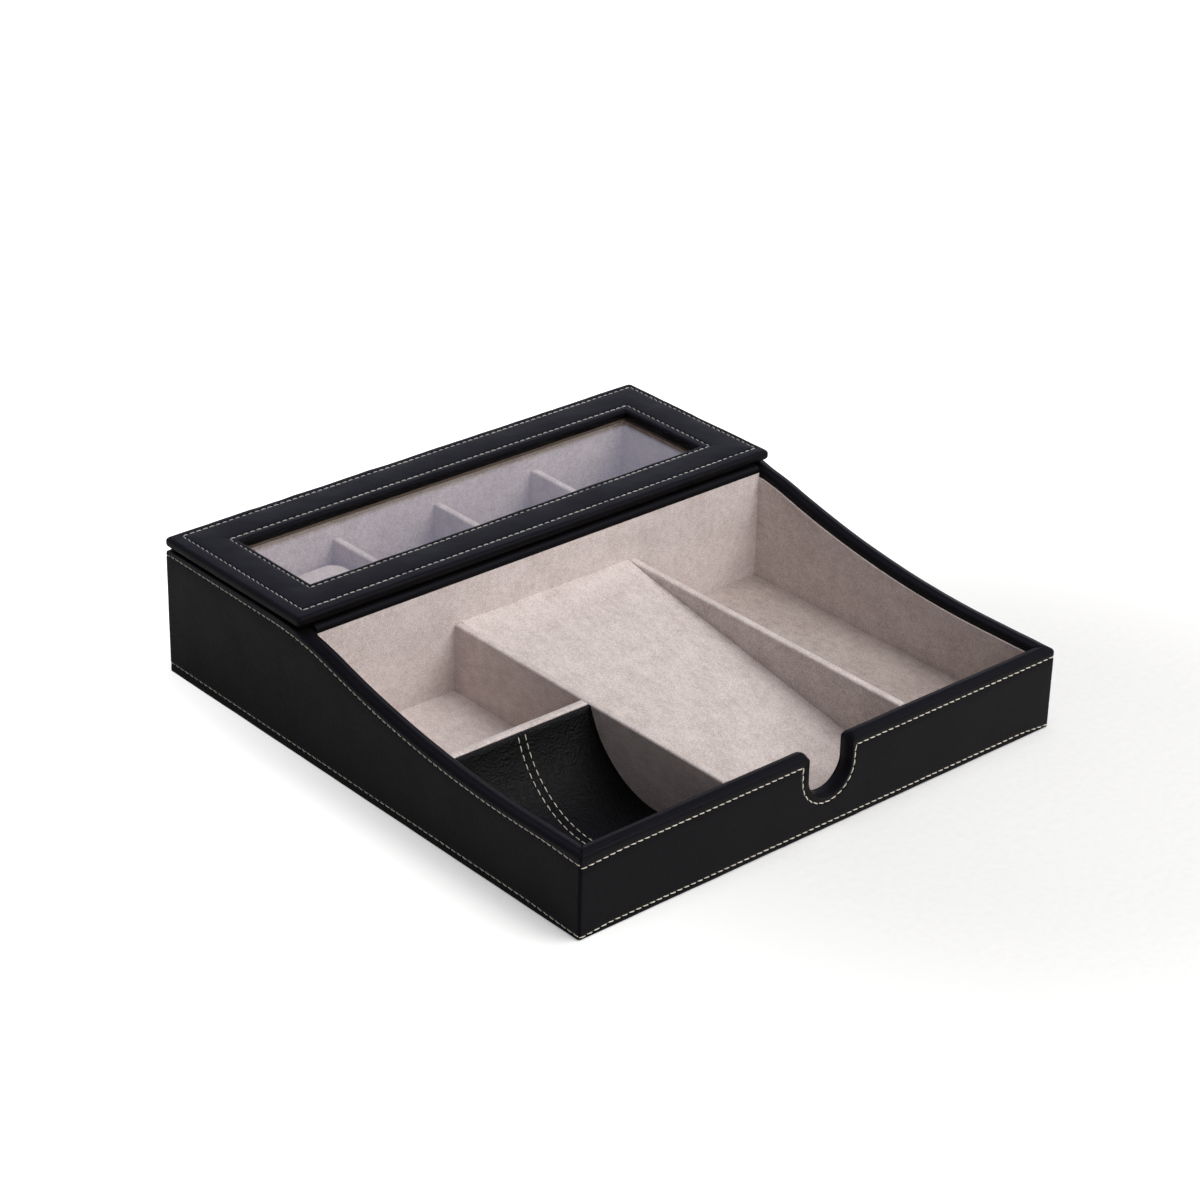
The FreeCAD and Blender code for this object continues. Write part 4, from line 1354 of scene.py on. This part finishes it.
@dataclass
class Tray:
    """Suede linings and dividers of the open tray, and its leather coin scoop."""

    shop: Workshop
    sewing: Sewing = field(
        default_factory=lambda: Sewing(pitch=4.4 * MM, fill=0.82, radius=0.24 * MM, slant=0.05))
    soft_edge: float = 0.4 * MM
    scoop_radius: float = 51.9 * MM
    scoop_leather: float = 1.0 * MM
    seam_place: float = 41.9 * MM
    seam_half: float = 2.1 * MM
    seam_rise: float = 0.3 * MM
    seam_fade: float = 2 * MM
    edge_lap: float = 0.3 * MM
    edge_gap: float = 0.2 * MM
    lap_rows: tuple[tuple[float, float, float], ...] = (
        (0.15, 0.7, 0.5), (0.5, 1, 0), (0.85, 0.9, -0.2), (1, 0.3, -0.8))
    groove_depth: float = 0.3 * MM
    groove_width: float = 0.6 * MM
    stitch_sink: float = 0.6
    skin_share: float = 0.8
    turn_steps: int = 60
    seam_steps: int = 33
    side_steps: int = 14
    soft_wave: Wave = Wave(rise=0.08 * MM, size=14 * MM, seed=5.5)

    def build(self) -> None:
        """Dress the linings and build the scoop."""
        for lined in ("left", "right", "front", "partition", "ramp", "bin_floor"):
            self.shop.finish_node(f"{lined}_lining", self.shop.suede, self.soft_edge)
        # The slot floor takes the darker suede copy: painted shade for the deep slot.
        self.shop.finish_node("slot_floor_lining", self.shop.shaded_floor_suede, self.soft_edge)
        for side in ("left", "right", "coin"):
            self.shop.finish_node(f"{side}_divider", self.shop.suede)
        for node in ("ramp_board", "scoop_card"):
            self.shop.finish_node(node, self.shop.board)
        self.build_scoop()

    def build_scoop(self) -> None:
        """Curved leather of the coin scoop, with a double-stitched seam down its middle."""
        low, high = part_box("scoop_leather")
        axis_z = low.z + self.scoop_leather + self.scoop_radius
        shell = self.scoop_radius + self.scoop_leather
        axis_y = high.y - math.sqrt(shell ** 2 - (axis_z - high.z) ** 2)
        start = -math.asin((axis_y - low.y) / self.scoop_radius)
        end = math.acos((axis_z - high.z) / self.scoop_radius)
        turns = np.linspace(start, end, self.turn_steps)
        middle = low.x + self.seam_place
        seam = middle + np.linspace(-2, 2, self.seam_steps) * self.seam_half
        across = np.concatenate([np.linspace(low.x, seam[0], self.side_steps)[:-1], seam,
                                 np.linspace(seam[-1], high.x, self.side_steps)[1:]])
        spread = np.abs(across - middle)
        groove = sum(np.exp(-((spread - place) / self.groove_width) ** 2) for place in (0, self.seam_half))
        rise = self.seam_rise * ease((self.seam_half - spread) / self.seam_fade + 0.5)
        rise = rise - groove * self.groove_depth
        towards = np.stack([np.zeros_like(turns), -np.sin(turns), np.cos(turns)], axis=-1)
        base = np.stack([np.zeros_like(turns), axis_y - 0 * turns, axis_z - 0 * turns], axis=-1)
        surface = base[:, None] - towards[:, None] * (self.scoop_radius - rise[None, :, None])
        surface[..., 0] = across[None]
        normals = np.broadcast_to(towards[:, None], surface.shape).copy()
        surface += normals * self.soft_wave.at(surface)[..., None]
        surface, normals = self.lap_edge(surface, normals)
        piece = skin_object("scoop_cover", surface, normals, self.scoop_leather * self.skin_share)
        # The scoop's leather: real pebbled grain, with painted shade in its darker base colour.
        self.shop.add_piece(piece, self.shop.shaded_grain, Body.BASE, Slot.LEATHER, ["scoop_leather"])
        lines = []
        for side in (-1, 1):
            line = base - towards * (self.scoop_radius + self.groove_depth * self.stitch_sink)
            line[:, 0] = middle + side * self.seam_half
            lines.append((line[1:], towards[1:]))
        stitches = self.sewing.row("scoop_stitches", lines)
        self.shop.add_piece(stitches, self.shop.thread, Body.BASE, Slot.LEATHER)

    def lap_edge(self, surface: Array, normals: Array) -> tuple[Array, Array]:
        """Take the scoop's leather over the card's top edge to the divider behind it.

        Args:
            surface: rows of points, the last row at the card's top edge.
            normals: outward directions.

        Returns:
            The points and directions with the rows of the lap.
        """
        edge = surface[-1]
        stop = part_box("coin_divider")[0].y - self.edge_gap
        rows, ways = [surface], [normals]
        for share, rise, lean in self.lap_rows:
            row = edge.copy()
            row[:, 1] = edge[:, 1] * (1 - share) + stop * share
            row[:, 2] = edge[:, 2] + self.edge_lap * rise
            way = normals[-1] * lean if lean > 0 else np.array([0, -lean, 0])
            way = way + np.array([0, 0, 1 - abs(lean)])
            rows.append(row[None])
            ways.append(np.broadcast_to(way / np.linalg.norm(way, axis=-1, keepdims=True), row.shape)[None])
        return np.concatenate(rows), np.concatenate(ways)


@dataclass
class WatchBay:
    """Suede insert under the lid, with four plump watch cushions."""

    shop: Workshop
    cushions: int = 4
    soft_edge: float = 0.4 * MM
    start_share: float = 0.985
    edge_round: float = 6.5 * MM
    voxel: float = 4.0 * MM
    pressure: float = 4.0
    most_swell: float = 2.2 * MM
    last_frame: int = 20
    seam_place: float = 0.80
    seam_depth: float = 0.7 * MM
    seam_width: float = 1.6 * MM

    def build(self) -> None:
        """Dress the insert and make the cushions."""
        for part in ("floor_lining", "left_wall", "right_wall", "front_wall", "back_wall", "deck"):
            self.shop.finish_node(f"bay_{part}", self.shop.suede, self.soft_edge)
        for number in range(1, self.cushions):
            self.shop.finish_node(f"watch_divider_{number}", self.shop.suede)
        self.build_cushions()

    def build_cushions(self) -> None:
        """Plump one cushion and set a copy in each slot."""
        first_low, first_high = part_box("watch_cushion_1")
        middle = (first_low + first_high) / 2
        pillow = self.plump(middle, (first_high - first_low) / 2)
        for number in range(1, self.cushions + 1):
            low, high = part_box(f"watch_cushion_{number}")
            mesh = pillow.data.copy()
            mesh.transform(Matrix.Translation((low + high) / 2 - middle))
            piece = linked(f"watch_pillow_{number}", mesh)
            self.shop.add_piece(piece, self.shop.suede, Body.BASE, Slot.SUEDE, [f"watch_cushion_{number}"])
        bpy.data.objects.remove(pillow)

    def plump(self, middle: Vector, half: Vector) -> Piece:
        """Swell a round-edged block of the cushion's size as stuffed cloth.

        Args:
            middle: centre of the cushion's box.
            half: half of the box's sizes.

        Returns:
            The swollen cushion, with its end seams drawn in.
        """
        foot = Vector((middle.x, middle.y, middle.z - half.z))
        size = half * (2 * self.start_share)
        form = bmesh.new()
        bmesh.ops.create_cube(form, size=1.0)
        bmesh.ops.scale(form, vec=size, verts=form.verts)
        bmesh.ops.translate(form, vec=foot + Vector((0, 0, size.z / 2)), verts=form.verts)
        bmesh.ops.bevel(form, geom=list(form.edges), offset=self.edge_round, segments=5, profile=0.5,
                        affect="EDGES")
        mesh = bpy.data.meshes.new("pillow")
        form.to_mesh(mesh)
        form.free()
        pillow = linked("pillow", mesh)
        remesh = pillow.modifiers.new("even", "REMESH")
        remesh.mode = "VOXEL"
        remesh.voxel_size = self.voxel
        settle(pillow)
        self.inflate(pillow)
        rounder = pillow.modifiers.new("rounder", "SUBSURF")
        rounder.levels = 1
        settle(pillow)
        self.draw_in_seams(pillow.data, np.array(middle), half.x, foot.z)
        smooth(pillow.data)
        return pillow

    def draw_in_seams(self, mesh: Mesh, centre: Array, half_width: float, floor: float) -> None:
        """Draw the cloth in along the seams near the cushion's two ends, and keep its foot flat.

        Args:
            mesh: the swollen cushion.
            centre: middle of its box.
            half_width: half of its width.
            floor: height that it rests at.
        """
        points = read_points(mesh)
        reach = np.abs(points[:, 0] - centre[0]) - self.seam_place * half_width
        drawn = self.seam_depth * np.exp(-(reach / self.seam_width) ** 2)
        outward = points - centre
        outward[:, 0] = 0
        outward /= np.linalg.norm(outward, axis=1, keepdims=True) + TINY
        points -= outward * drawn[:, None]
        points[:, 2] = np.clip(points[:, 2], floor, None)
        write_points(mesh, points)

    def inflate(self, pillow: Piece) -> None:
        """Blow the cushion up with a cloth simulation and keep a capped part of the movement.

        Args:
            pillow: the cushion.
        """
        before = read_points(pillow.data)
        cloth = pillow.modifiers.new("stuffing", "CLOTH")
        cloth.settings.use_pressure = True
        cloth.settings.uniform_pressure_force = self.pressure
        cloth.settings.effector_weights.gravity = 0
        scene = bpy.context.scene
        for step in range(1, self.last_frame + 1):
            scene.frame_set(step)
        settle(pillow)
        scene.frame_set(1)
        moved = read_points(pillow.data) - before
        far = np.linalg.norm(moved, axis=1, keepdims=True)
        held = moved * np.minimum(1, self.most_swell / np.maximum(far, TINY))
        write_points(pillow.data, before + held)


@dataclass
class Lid:
    """Hinged frame of the watch bay: leather cover with two stitch rows, pane and lined retainer."""

    shop: Workshop
    sewing: Sewing = field(default_factory=lambda: Sewing(pitch=4.0 * MM, fill=0.84))
    edge_reach: float = 2.4 * MM
    edge_fall: float = 2.0 * MM
    under_round: float = 2.0 * MM
    corner: float = 2.0 * MM
    window_round: float = 1.8 * MM
    window_corner: float = 0.7 * MM
    bar: float = 27.3 * MM
    turn: float = 10.6 * MM
    outer_stitch: float = 5.9 * MM
    inner_stitch: float = 23.05 * MM
    rows_shift: Pair = (1.7 * MM, 1.0 * MM)
    inner_shift_share: float = 0.7
    crown: float = 0.35 * MM
    groove_depth: float = 0.3 * MM
    groove_width: float = 0.6 * MM
    skin: float = 0.75 * MM
    spacing: float = 4.0 * MM
    corner_steps: int = 7
    under_steps: int = 6
    edge_steps: int = 9
    between_steps: int = 8
    window_steps: int = 7
    groove_rows: tuple[float, ...] = (-1.0, -0.6, -0.3, 0, 0.3, 0.6, 1.0)
    lip_rows: Pair = (3.4 * MM, 4.2 * MM)
    row_clear: float = 2 * MM
    shift_lead: float = 0.6 * MM
    broad_wave: Wave = Wave(rise=0.26 * MM, size=22 * MM, seed=8.2)
    small_wave: Wave = Wave(rise=0.13 * MM, size=7 * MM, seed=2.4)
    retainer_edge: float = 0.3 * MM
    hinge_play: float = 0.3 * MM
    leaf_room: float = 0.6 * MM
    barrel_room: float = 1.1 * MM
    room_past: float = 1 * MM

    def __post_init__(self) -> None:
        """Read the lid's box from the frame."""
        self.low, self.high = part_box("lid_leather")

    def loop(self, inset: float, radius: float) -> Array:
        """Rounded rectangle in plan.

        Args:
            inset: distance in from the lid's edge.
            radius: radius of its corners.

        Returns:
            Its points, as many on each side and corner whatever the inset.
        """
        low = np.array([self.low.x + inset, self.low.y + inset])
        high = np.array([self.high.x - inset, self.high.y - inset])
        sizes = (self.high.x - self.low.x, self.high.y - self.low.y)
        counts = [max(4, round(size / self.spacing)) for size in sizes]
        centres = [(high[0] - radius, low[1] + radius), (high[0] - radius, high[1] - radius),
                   (low[0] + radius, high[1] - radius), (low[0] + radius, low[1] + radius)]
        points: list[Array] = []
        for index, centre in enumerate(centres):
            turns = (np.linspace(-90, 0, self.corner_steps) + 90 * index) * math.pi / 180
            arc = np.array(centre) + radius * np.column_stack([np.cos(turns), np.sin(turns)])
            following = np.array(centres[(index + 1) % 4])
            start_of_next = following + radius * np.array([math.cos(turns[-1]), math.sin(turns[-1])])
            shares = np.linspace(0, 1, counts[1 - index % 2] + 1)[1:-1, None]
            points += [arc, arc[-1] * (1 - shares) + start_of_next * shares]
        return np.concatenate(points)

    def shift(self, inset: float) -> Array:
        """How far the two stitch rows, and the leather beside them, lie off the middle of the frame.

        Args:
            inset: distance in from the lid's edge.

        Returns:
            Distances along x and y.
        """
        places = [self.edge_reach, self.outer_stitch - self.shift_lead, self.inner_stitch,
                  self.bar - self.window_round]
        share = np.interp(inset, places, [0, 1, self.inner_shift_share, 0])
        return share * np.array(self.rows_shift)

    def section(self) -> list[tuple[float, float, float, float]]:
        """Section of the cover from under the edge over the top and down into the window.

        Returns:
            Inset, height, outward share and upward share of each row.
        """
        bottom, top = self.low.z, self.high.z
        rows = [(self.turn, bottom, 0.0, -1.0), (self.turn / 2, bottom, 0.0, -1.0)]
        for angle in np.linspace(-math.pi / 2, 0, self.under_steps):
            out, rise = math.cos(angle), math.sin(angle)
            rows.append((self.under_round * (1 - out), bottom + self.under_round * (1 + rise), out, rise))
        for angle in np.linspace(0, math.pi / 2, self.edge_steps):
            out, rise = math.cos(angle), math.sin(angle)
            rows.append((self.edge_reach * (1 - out), top - self.edge_fall * (1 - rise), out, rise))
        stitches = (self.outer_stitch, self.inner_stitch)
        grooves = [stitch + step * MM for stitch in stitches for step in self.groove_rows]
        first, last = self.outer_stitch + self.row_clear, self.inner_stitch - self.row_clear
        between = np.linspace(first, last, self.between_steps)
        for inset in sorted([*grooves, *between, *self.lip_rows]):
            rows.append((inset, top, 0.0, 1.0))
        for angle in np.linspace(math.pi / 2, 0, self.window_steps):
            out, rise = math.cos(angle), math.sin(angle)
            rows.append((self.bar - self.window_round * (1 - out), top - self.window_round * (1 - rise),
                         -out, rise))
        rows.append((self.bar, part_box("glass_pane")[1].z, -1.0, 0.0))
        return rows

    def height(self, inset: Array) -> Array:
        """Rise of the padded top, with its two stitch grooves.

        Args:
            inset: distances in from the lid's edge.

        Returns:
            Heights above the flat top.
        """
        span = (inset - self.outer_stitch) / (self.inner_stitch - self.outer_stitch)
        padded = self.crown * np.clip(4 * span * (1 - span), 0, 1)
        for stitch in (self.outer_stitch, self.inner_stitch):
            padded = padded - self.groove_depth * np.exp(-((inset - stitch) / self.groove_width) ** 2)
        return padded

    def build(self) -> None:
        """Build the cover and its rows, and dress the pane, retainer and board."""
        outer, inner = self.loop(0, self.corner), self.loop(self.bar, self.window_corner)
        outward = outer - inner
        side = np.abs(outward) > self.bar * 0.999
        flat_side = side.sum(axis=1) == 1
        outward = np.where(side & flat_side[:, None], outward, np.where(flat_side[:, None], 0, outward))
        outward /= np.linalg.norm(outward, axis=1, keepdims=True)
        points, normals = [], []
        for inset, height, out, rise in self.section():
            plan = outer + (inner - outer) * (inset / self.bar)
            if rise == 1.0:
                plan = plan + self.shift(inset)
                height += float(self.height(np.array(inset)))
            points.append(np.column_stack([plan, np.full(len(plan), height)]))
            normals.append(np.column_stack([outward * out, np.full(len(plan), rise)]))
        surface, facing = np.array(points), np.array(normals)
        soft = self.broad_wave.at(surface) + self.small_wave.at(surface)
        not_under = facing[..., 2:] > -0.5
        surface = surface + facing * soft[..., None] * not_under
        piece = skin_object("lid_cover", surface, facing, self.skin, ring=True)
        cut_rooms(piece, self.hinge_rooms())
        self.shop.add_piece(piece, self.shop.leather, Body.LID, Slot.LEATHER, ["lid_leather"])
        for name, inset in (("outer", self.outer_stitch), ("inner", self.inner_stitch)):
            self.sew(f"lid_{name}_stitches", inset)
        self.shop.finish_node("lid_board", self.shop.board)
        # The retainer takes the darker suede copy: painted shade under the window's rear edge.
        self.shop.finish_node("lid_retainer", self.shop.shaded_retainer_suede, self.retainer_edge)
        self.shop.finish_node("glass_pane", self.shop.glass)

    def hinge_rooms(self) -> list[Room]:
        """Room under the lid's rear edge for each hinge's leaf and barrel.

        Returns:
            Boxes to cut out.
        """
        rooms = []
        play = Vector((self.hinge_play,) * 3)
        for side in ("left", "right"):
            low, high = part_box(f"{side}_hinge_lid_leaf")
            pin_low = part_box(f"{side}_hinge_pin")[0]
            under, behind = self.low.z - self.room_past, high.y + self.room_past
            leaf = Vector((low.x, low.y, under))
            rooms.append((leaf - play, Vector((high.x, behind, self.low.z + self.leaf_room)) + play))
            barrel = Vector((low.x, pin_low.y - self.barrel_room, under))
            rooms.append((barrel - play, Vector((high.x, behind, high.z)) + play))
        return rooms

    def sew(self, name: str, inset: float) -> None:
        """Sew one row round the lid, corner to corner.

        Args:
            name: name of the row.
            inset: its distance in from the lid's edge.
        """
        top = self.high.z - self.groove_depth
        across, back = self.shift(inset)
        low = (self.low.x + inset + across, self.low.y + inset + back)
        high = (self.high.x - inset + across, self.high.y - inset + back)
        corners = [(low[0], low[1]), (high[0], low[1]), (high[0], high[1]), (low[0], high[1])]
        lines = []
        for first, second in zip(corners, corners[1:] + corners[:1]):
            line = np.array([(*first, top), (*second, top)])
            lines.append((line, np.array([(0.0, 0.0, 1.0)] * 2)))
        self.shop.add_piece(self.sewing.row(name, lines), self.shop.grey_thread, Body.LID, Slot.LEATHER)


@dataclass
class Hinges:
    """Two small butt hinges with their screws."""

    shop: Workshop
    screw_radius: float = 1.4 * MM
    screw_spread: float = 8.5 * MM
    screw_rise: float = 0.16 * MM
    slot_width: float = 0.4 * MM
    slot_depth: float = 0.12 * MM
    screw_share: float = 0.32
    sides: int = 32
    dome: tuple[Pair, ...] = ((1.0, 0.0), (0.9, 0.6), (0.6, 0.9), (0.3, 1.0))
    slot_reach: float = 0.8
    sunk: float = 0.45 * MM
    leaf_gap: float = 0.3 * MM

    def build(self) -> None:
        """Dress the leaves and pins, and set two screws in each leaf."""
        for side in ("left", "right"):
            for leaf, body, up in (("body", Body.BASE, 1), ("lid", Body.LID, -1)):
                node = f"{side}_hinge_{leaf}_leaf"
                self.shop.finish_node(node, self.shop.steel)
                screws = self.screws(f"{side}_hinge_{leaf}_screws", node, up)
                self.shop.add_piece(screws, self.shop.steel, body, Slot.STEEL)
            self.shop.finish_node(f"{side}_hinge_pin", self.shop.steel)

    def screws(self, name: str, node: str, up: int) -> Piece:
        """Domed screw heads with a cross slot.

        Args:
            name: name of the pair.
            node: leaf that they hold.
            up: 1 where the leaf's open face looks up, -1 where it looks down.

        Returns:
            One object with both heads.
        """
        low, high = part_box(node)
        pin_low, pin_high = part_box(node.split("_hinge")[0] + "_hinge_pin")
        pin_z = (pin_low.z + pin_high.z) / 2
        face = pin_z - up * self.leaf_gap
        place_y = low.y + (high.y - low.y) * self.screw_share
        rings = ((1.0, -self.sunk), *self.dome)
        sides = self.sides
        points, faces = [], []
        for middle in ((low.x + high.x) / 2 - self.screw_spread, (low.x + high.x) / 2 + self.screw_spread):
            start = len(points)
            for share, rise in rings:
                for step in range(sides):
                    turn = 2 * math.pi * step / sides
                    x = math.cos(turn) * share * self.screw_radius
                    y = math.sin(turn) * share * self.screw_radius
                    in_slot = min(abs(x), abs(y)) < self.slot_width / 2 and share < self.slot_reach
                    lift = rise if rise < 0 else rise * self.screw_rise - self.slot_depth * in_slot
                    points.append((middle + x, place_y + y, face + up * lift))
            for corners in grid_faces(len(rings), sides, ring=True):
                faces.append([start + corner for corner in corners])
            faces.append([start + step for step in range(sides)])
            faces.append([start + (len(rings) - 1) * sides + step for step in range(sides)])
        return mesh_object(name, np.array(points), faces)


@dataclass(frozen=True)
class Softbox:
    """Square lamp that looks at the box."""

    name: str
    place: Place
    size: float
    watts: float
    in_gloss: bool = False


@dataclass
class Studio:
    """Pale floor, soft light and the camera."""

    softboxes: tuple[Softbox, ...] = (
        Softbox("top_softbox", place=(0.3, -0.3, 1.9), size=1.2, watts=18),
        Softbox("front_softbox", place=(0.0, -2.0, 0.8), size=1.2, watts=16),
        Softbox("right_softbox", place=(0.97, -1.16, 1.5), size=1.3, watts=16, in_gloss=True),
    )
    lamp_aim: Place = (0, 0, 0.03)
    lens: float = 98.753
    sensor: float = 36.0
    view_reach: float = 50.0
    place: Place = (-0.97368, -1.09216, 0.82002)
    aim: Place = (0.01791, 0.02601, 0.040)
    roll: float = math.radians(1.465)
    ambient: float = 0.12
    ambient_tint: Colour = (0.97, 0.985, 1.0)
    lamp_tint: Colour = (1.0, 0.99, 0.98)
    horizon: Colour = (1.0, 1.0, 1.0)
    low_sky: Colour = (0.74, 0.77, 0.94)
    mid_sky: Colour = (0.50, 0.53, 0.82)
    bright_sky: Colour = (0.92, 0.96, 1.25)
    high_sky: Colour = (0.28, 0.30, 0.45)
    sky_heights: tuple[float, ...] = (0.0, 0.3, 0.52, 0.75, 0.95)
    front_glow: float = 0.15
    front_span: Pair = (-0.1, -0.7)
    floor_half: float = 6.0
    floor_tone: float = 0.85
    floor_lift: float = 1.04
    floor_grain: float = 4 * MM
    floor_middle: Place = (0.12, -0.2, 0.0)
    floor_glow: Pair = (0.08, 1.0)
    floor_reach: Pair = (0.1, 0.6)
    floor_gloss: float = 0.15

    def build(self) -> None:
        """Set up everything round the object."""
        self.build_camera()
        self.build_world()
        self.build_floor()
        for softbox in self.softboxes:
            self.build_lamp(softbox)

    def build_camera(self) -> None:
        """Camera at the viewing angle of the photograph."""
        lens = bpy.data.cameras.new("camera")
        lens.lens = self.lens
        lens.sensor_width = self.sensor
        lens.sensor_fit = "HORIZONTAL"
        lens.clip_end = self.view_reach
        camera = linked("camera", lens)
        camera.matrix_world = look(self.place, self.aim) @ Matrix.Rotation(self.roll, 4, "Z")
        bpy.context.scene.camera = camera
        bpy.context.scene.view_settings.view_transform = "Standard"

    def build_world(self) -> None:
        """White surroundings for the eye and glass, a pale sky for gloss, even soft light for the rest."""
        world = bpy.data.worlds.new("surroundings")
        world.use_nodes = True
        bpy.context.scene.world = world
        wires = Wiring(world.node_tree)
        white = wires.node("ShaderNodeBackground", {"Color": (1.0, 1.0, 1.0), "Strength": 1.0})
        soft = wires.node("ShaderNodeBackground", {"Color": self.ambient_tint, "Strength": self.ambient})
        way = wires.node("ShaderNodeTexCoord").outputs["Generated"]
        parts = wires.node("ShaderNodeSeparateXYZ", {"Vector": way}).outputs
        colours = (self.horizon, self.low_sky, self.mid_sky, self.bright_sky, self.high_sky)
        sky = wires.ramp(parts["Z"], *zip(self.sky_heights, colours))
        facing = wires.fade(parts["Y"], self.front_span, (0.0, self.front_glow))
        pale = wires.node("ShaderNodeBackground", {"Color": sky, "Strength": 1.0})
        glow = wires.node("ShaderNodeBackground", {"Color": self.low_sky, "Strength": facing})
        gloss = wires.node("ShaderNodeAddShader", {0: pale.outputs[0], 1: glow.outputs[0]})
        open_view = wires.seen("Is Camera Ray", "Is Transmission Ray")
        plain = wires.node("ShaderNodeMixShader", {0: open_view, 1: soft.outputs[0], 2: white.outputs[0]})
        mixed = wires.node("ShaderNodeMixShader", {0: wires.seen("Is Glossy Ray"), 1: plain.outputs[0],
                                                   2: gloss.outputs[0]})
        wires.node("ShaderNodeOutputWorld", {"Surface": mixed.outputs[0]})

    def build_floor(self) -> None:
        """Pale floor that reads as white and keeps the shadow at the object's foot."""
        reach = self.floor_half
        corners = np.array([(-reach, -reach, 0), (reach, -reach, 0), (reach, reach, 0), (-reach, reach, 0)])
        floor = mesh_object("floor", corners, [(0, 1, 2, 3)])
        shader = Shader("pale_floor")
        fine = shader.clouds(self.floor_grain, detail=3)
        pale, paler = (self.floor_tone,) * 3, (self.floor_tone * self.floor_lift,) * 3
        shader.dress(Base_Color=shader.tones(fine, shader.noise_middle, pale, paler), Roughness=1.0,
                     Specular_IOR_Level=0.0)
        open_view = shader.seen("Is Camera Ray", "Is Transmission Ray")
        away = shader.node("ShaderNodeVectorMath", {0: shader.place, 1: self.floor_middle},
                           operation="DISTANCE").outputs["Value"]
        glow = shader.fade(away, self.floor_reach, self.floor_glow, interpolation_type="SMOOTHSTEP")
        bright = shader.node("ShaderNodeMath", {0: open_view, 1: glow}, operation="MULTIPLY").outputs[0]
        shader.dress(Emission_Color=(1, 1, 1),
                     Emission_Strength=shader.blend(bright, shader.seen("Is Glossy Ray"), self.floor_gloss))
        floor.data.materials.append(shader.material)

    def build_lamp(self, softbox: Softbox) -> None:
        """Hang one softbox, seen only by what may mirror it.

        Args:
            softbox: the lamp.
        """
        light = bpy.data.lights.new(softbox.name, "AREA")
        light.size = softbox.size
        light.energy = softbox.watts
        light.color = self.lamp_tint
        lamp = linked(softbox.name, light)
        lamp.matrix_world = look(softbox.place, self.lamp_aim)
        lamp.visible_camera = False
        lamp.visible_glossy = softbox.in_gloss


def main() -> None:
    """Build the studio, then each sub-assembly."""
    logging.basicConfig(level=logging.INFO, format="%(name)s: %(message)s")
    Studio().build()
    shop = Workshop()
    for assembly in (Shell(shop), Tray(shop), WatchBay(shop), Lid(shop), Hinges(shop)):
        assembly.build()


if __name__ == "__main__":
    main()
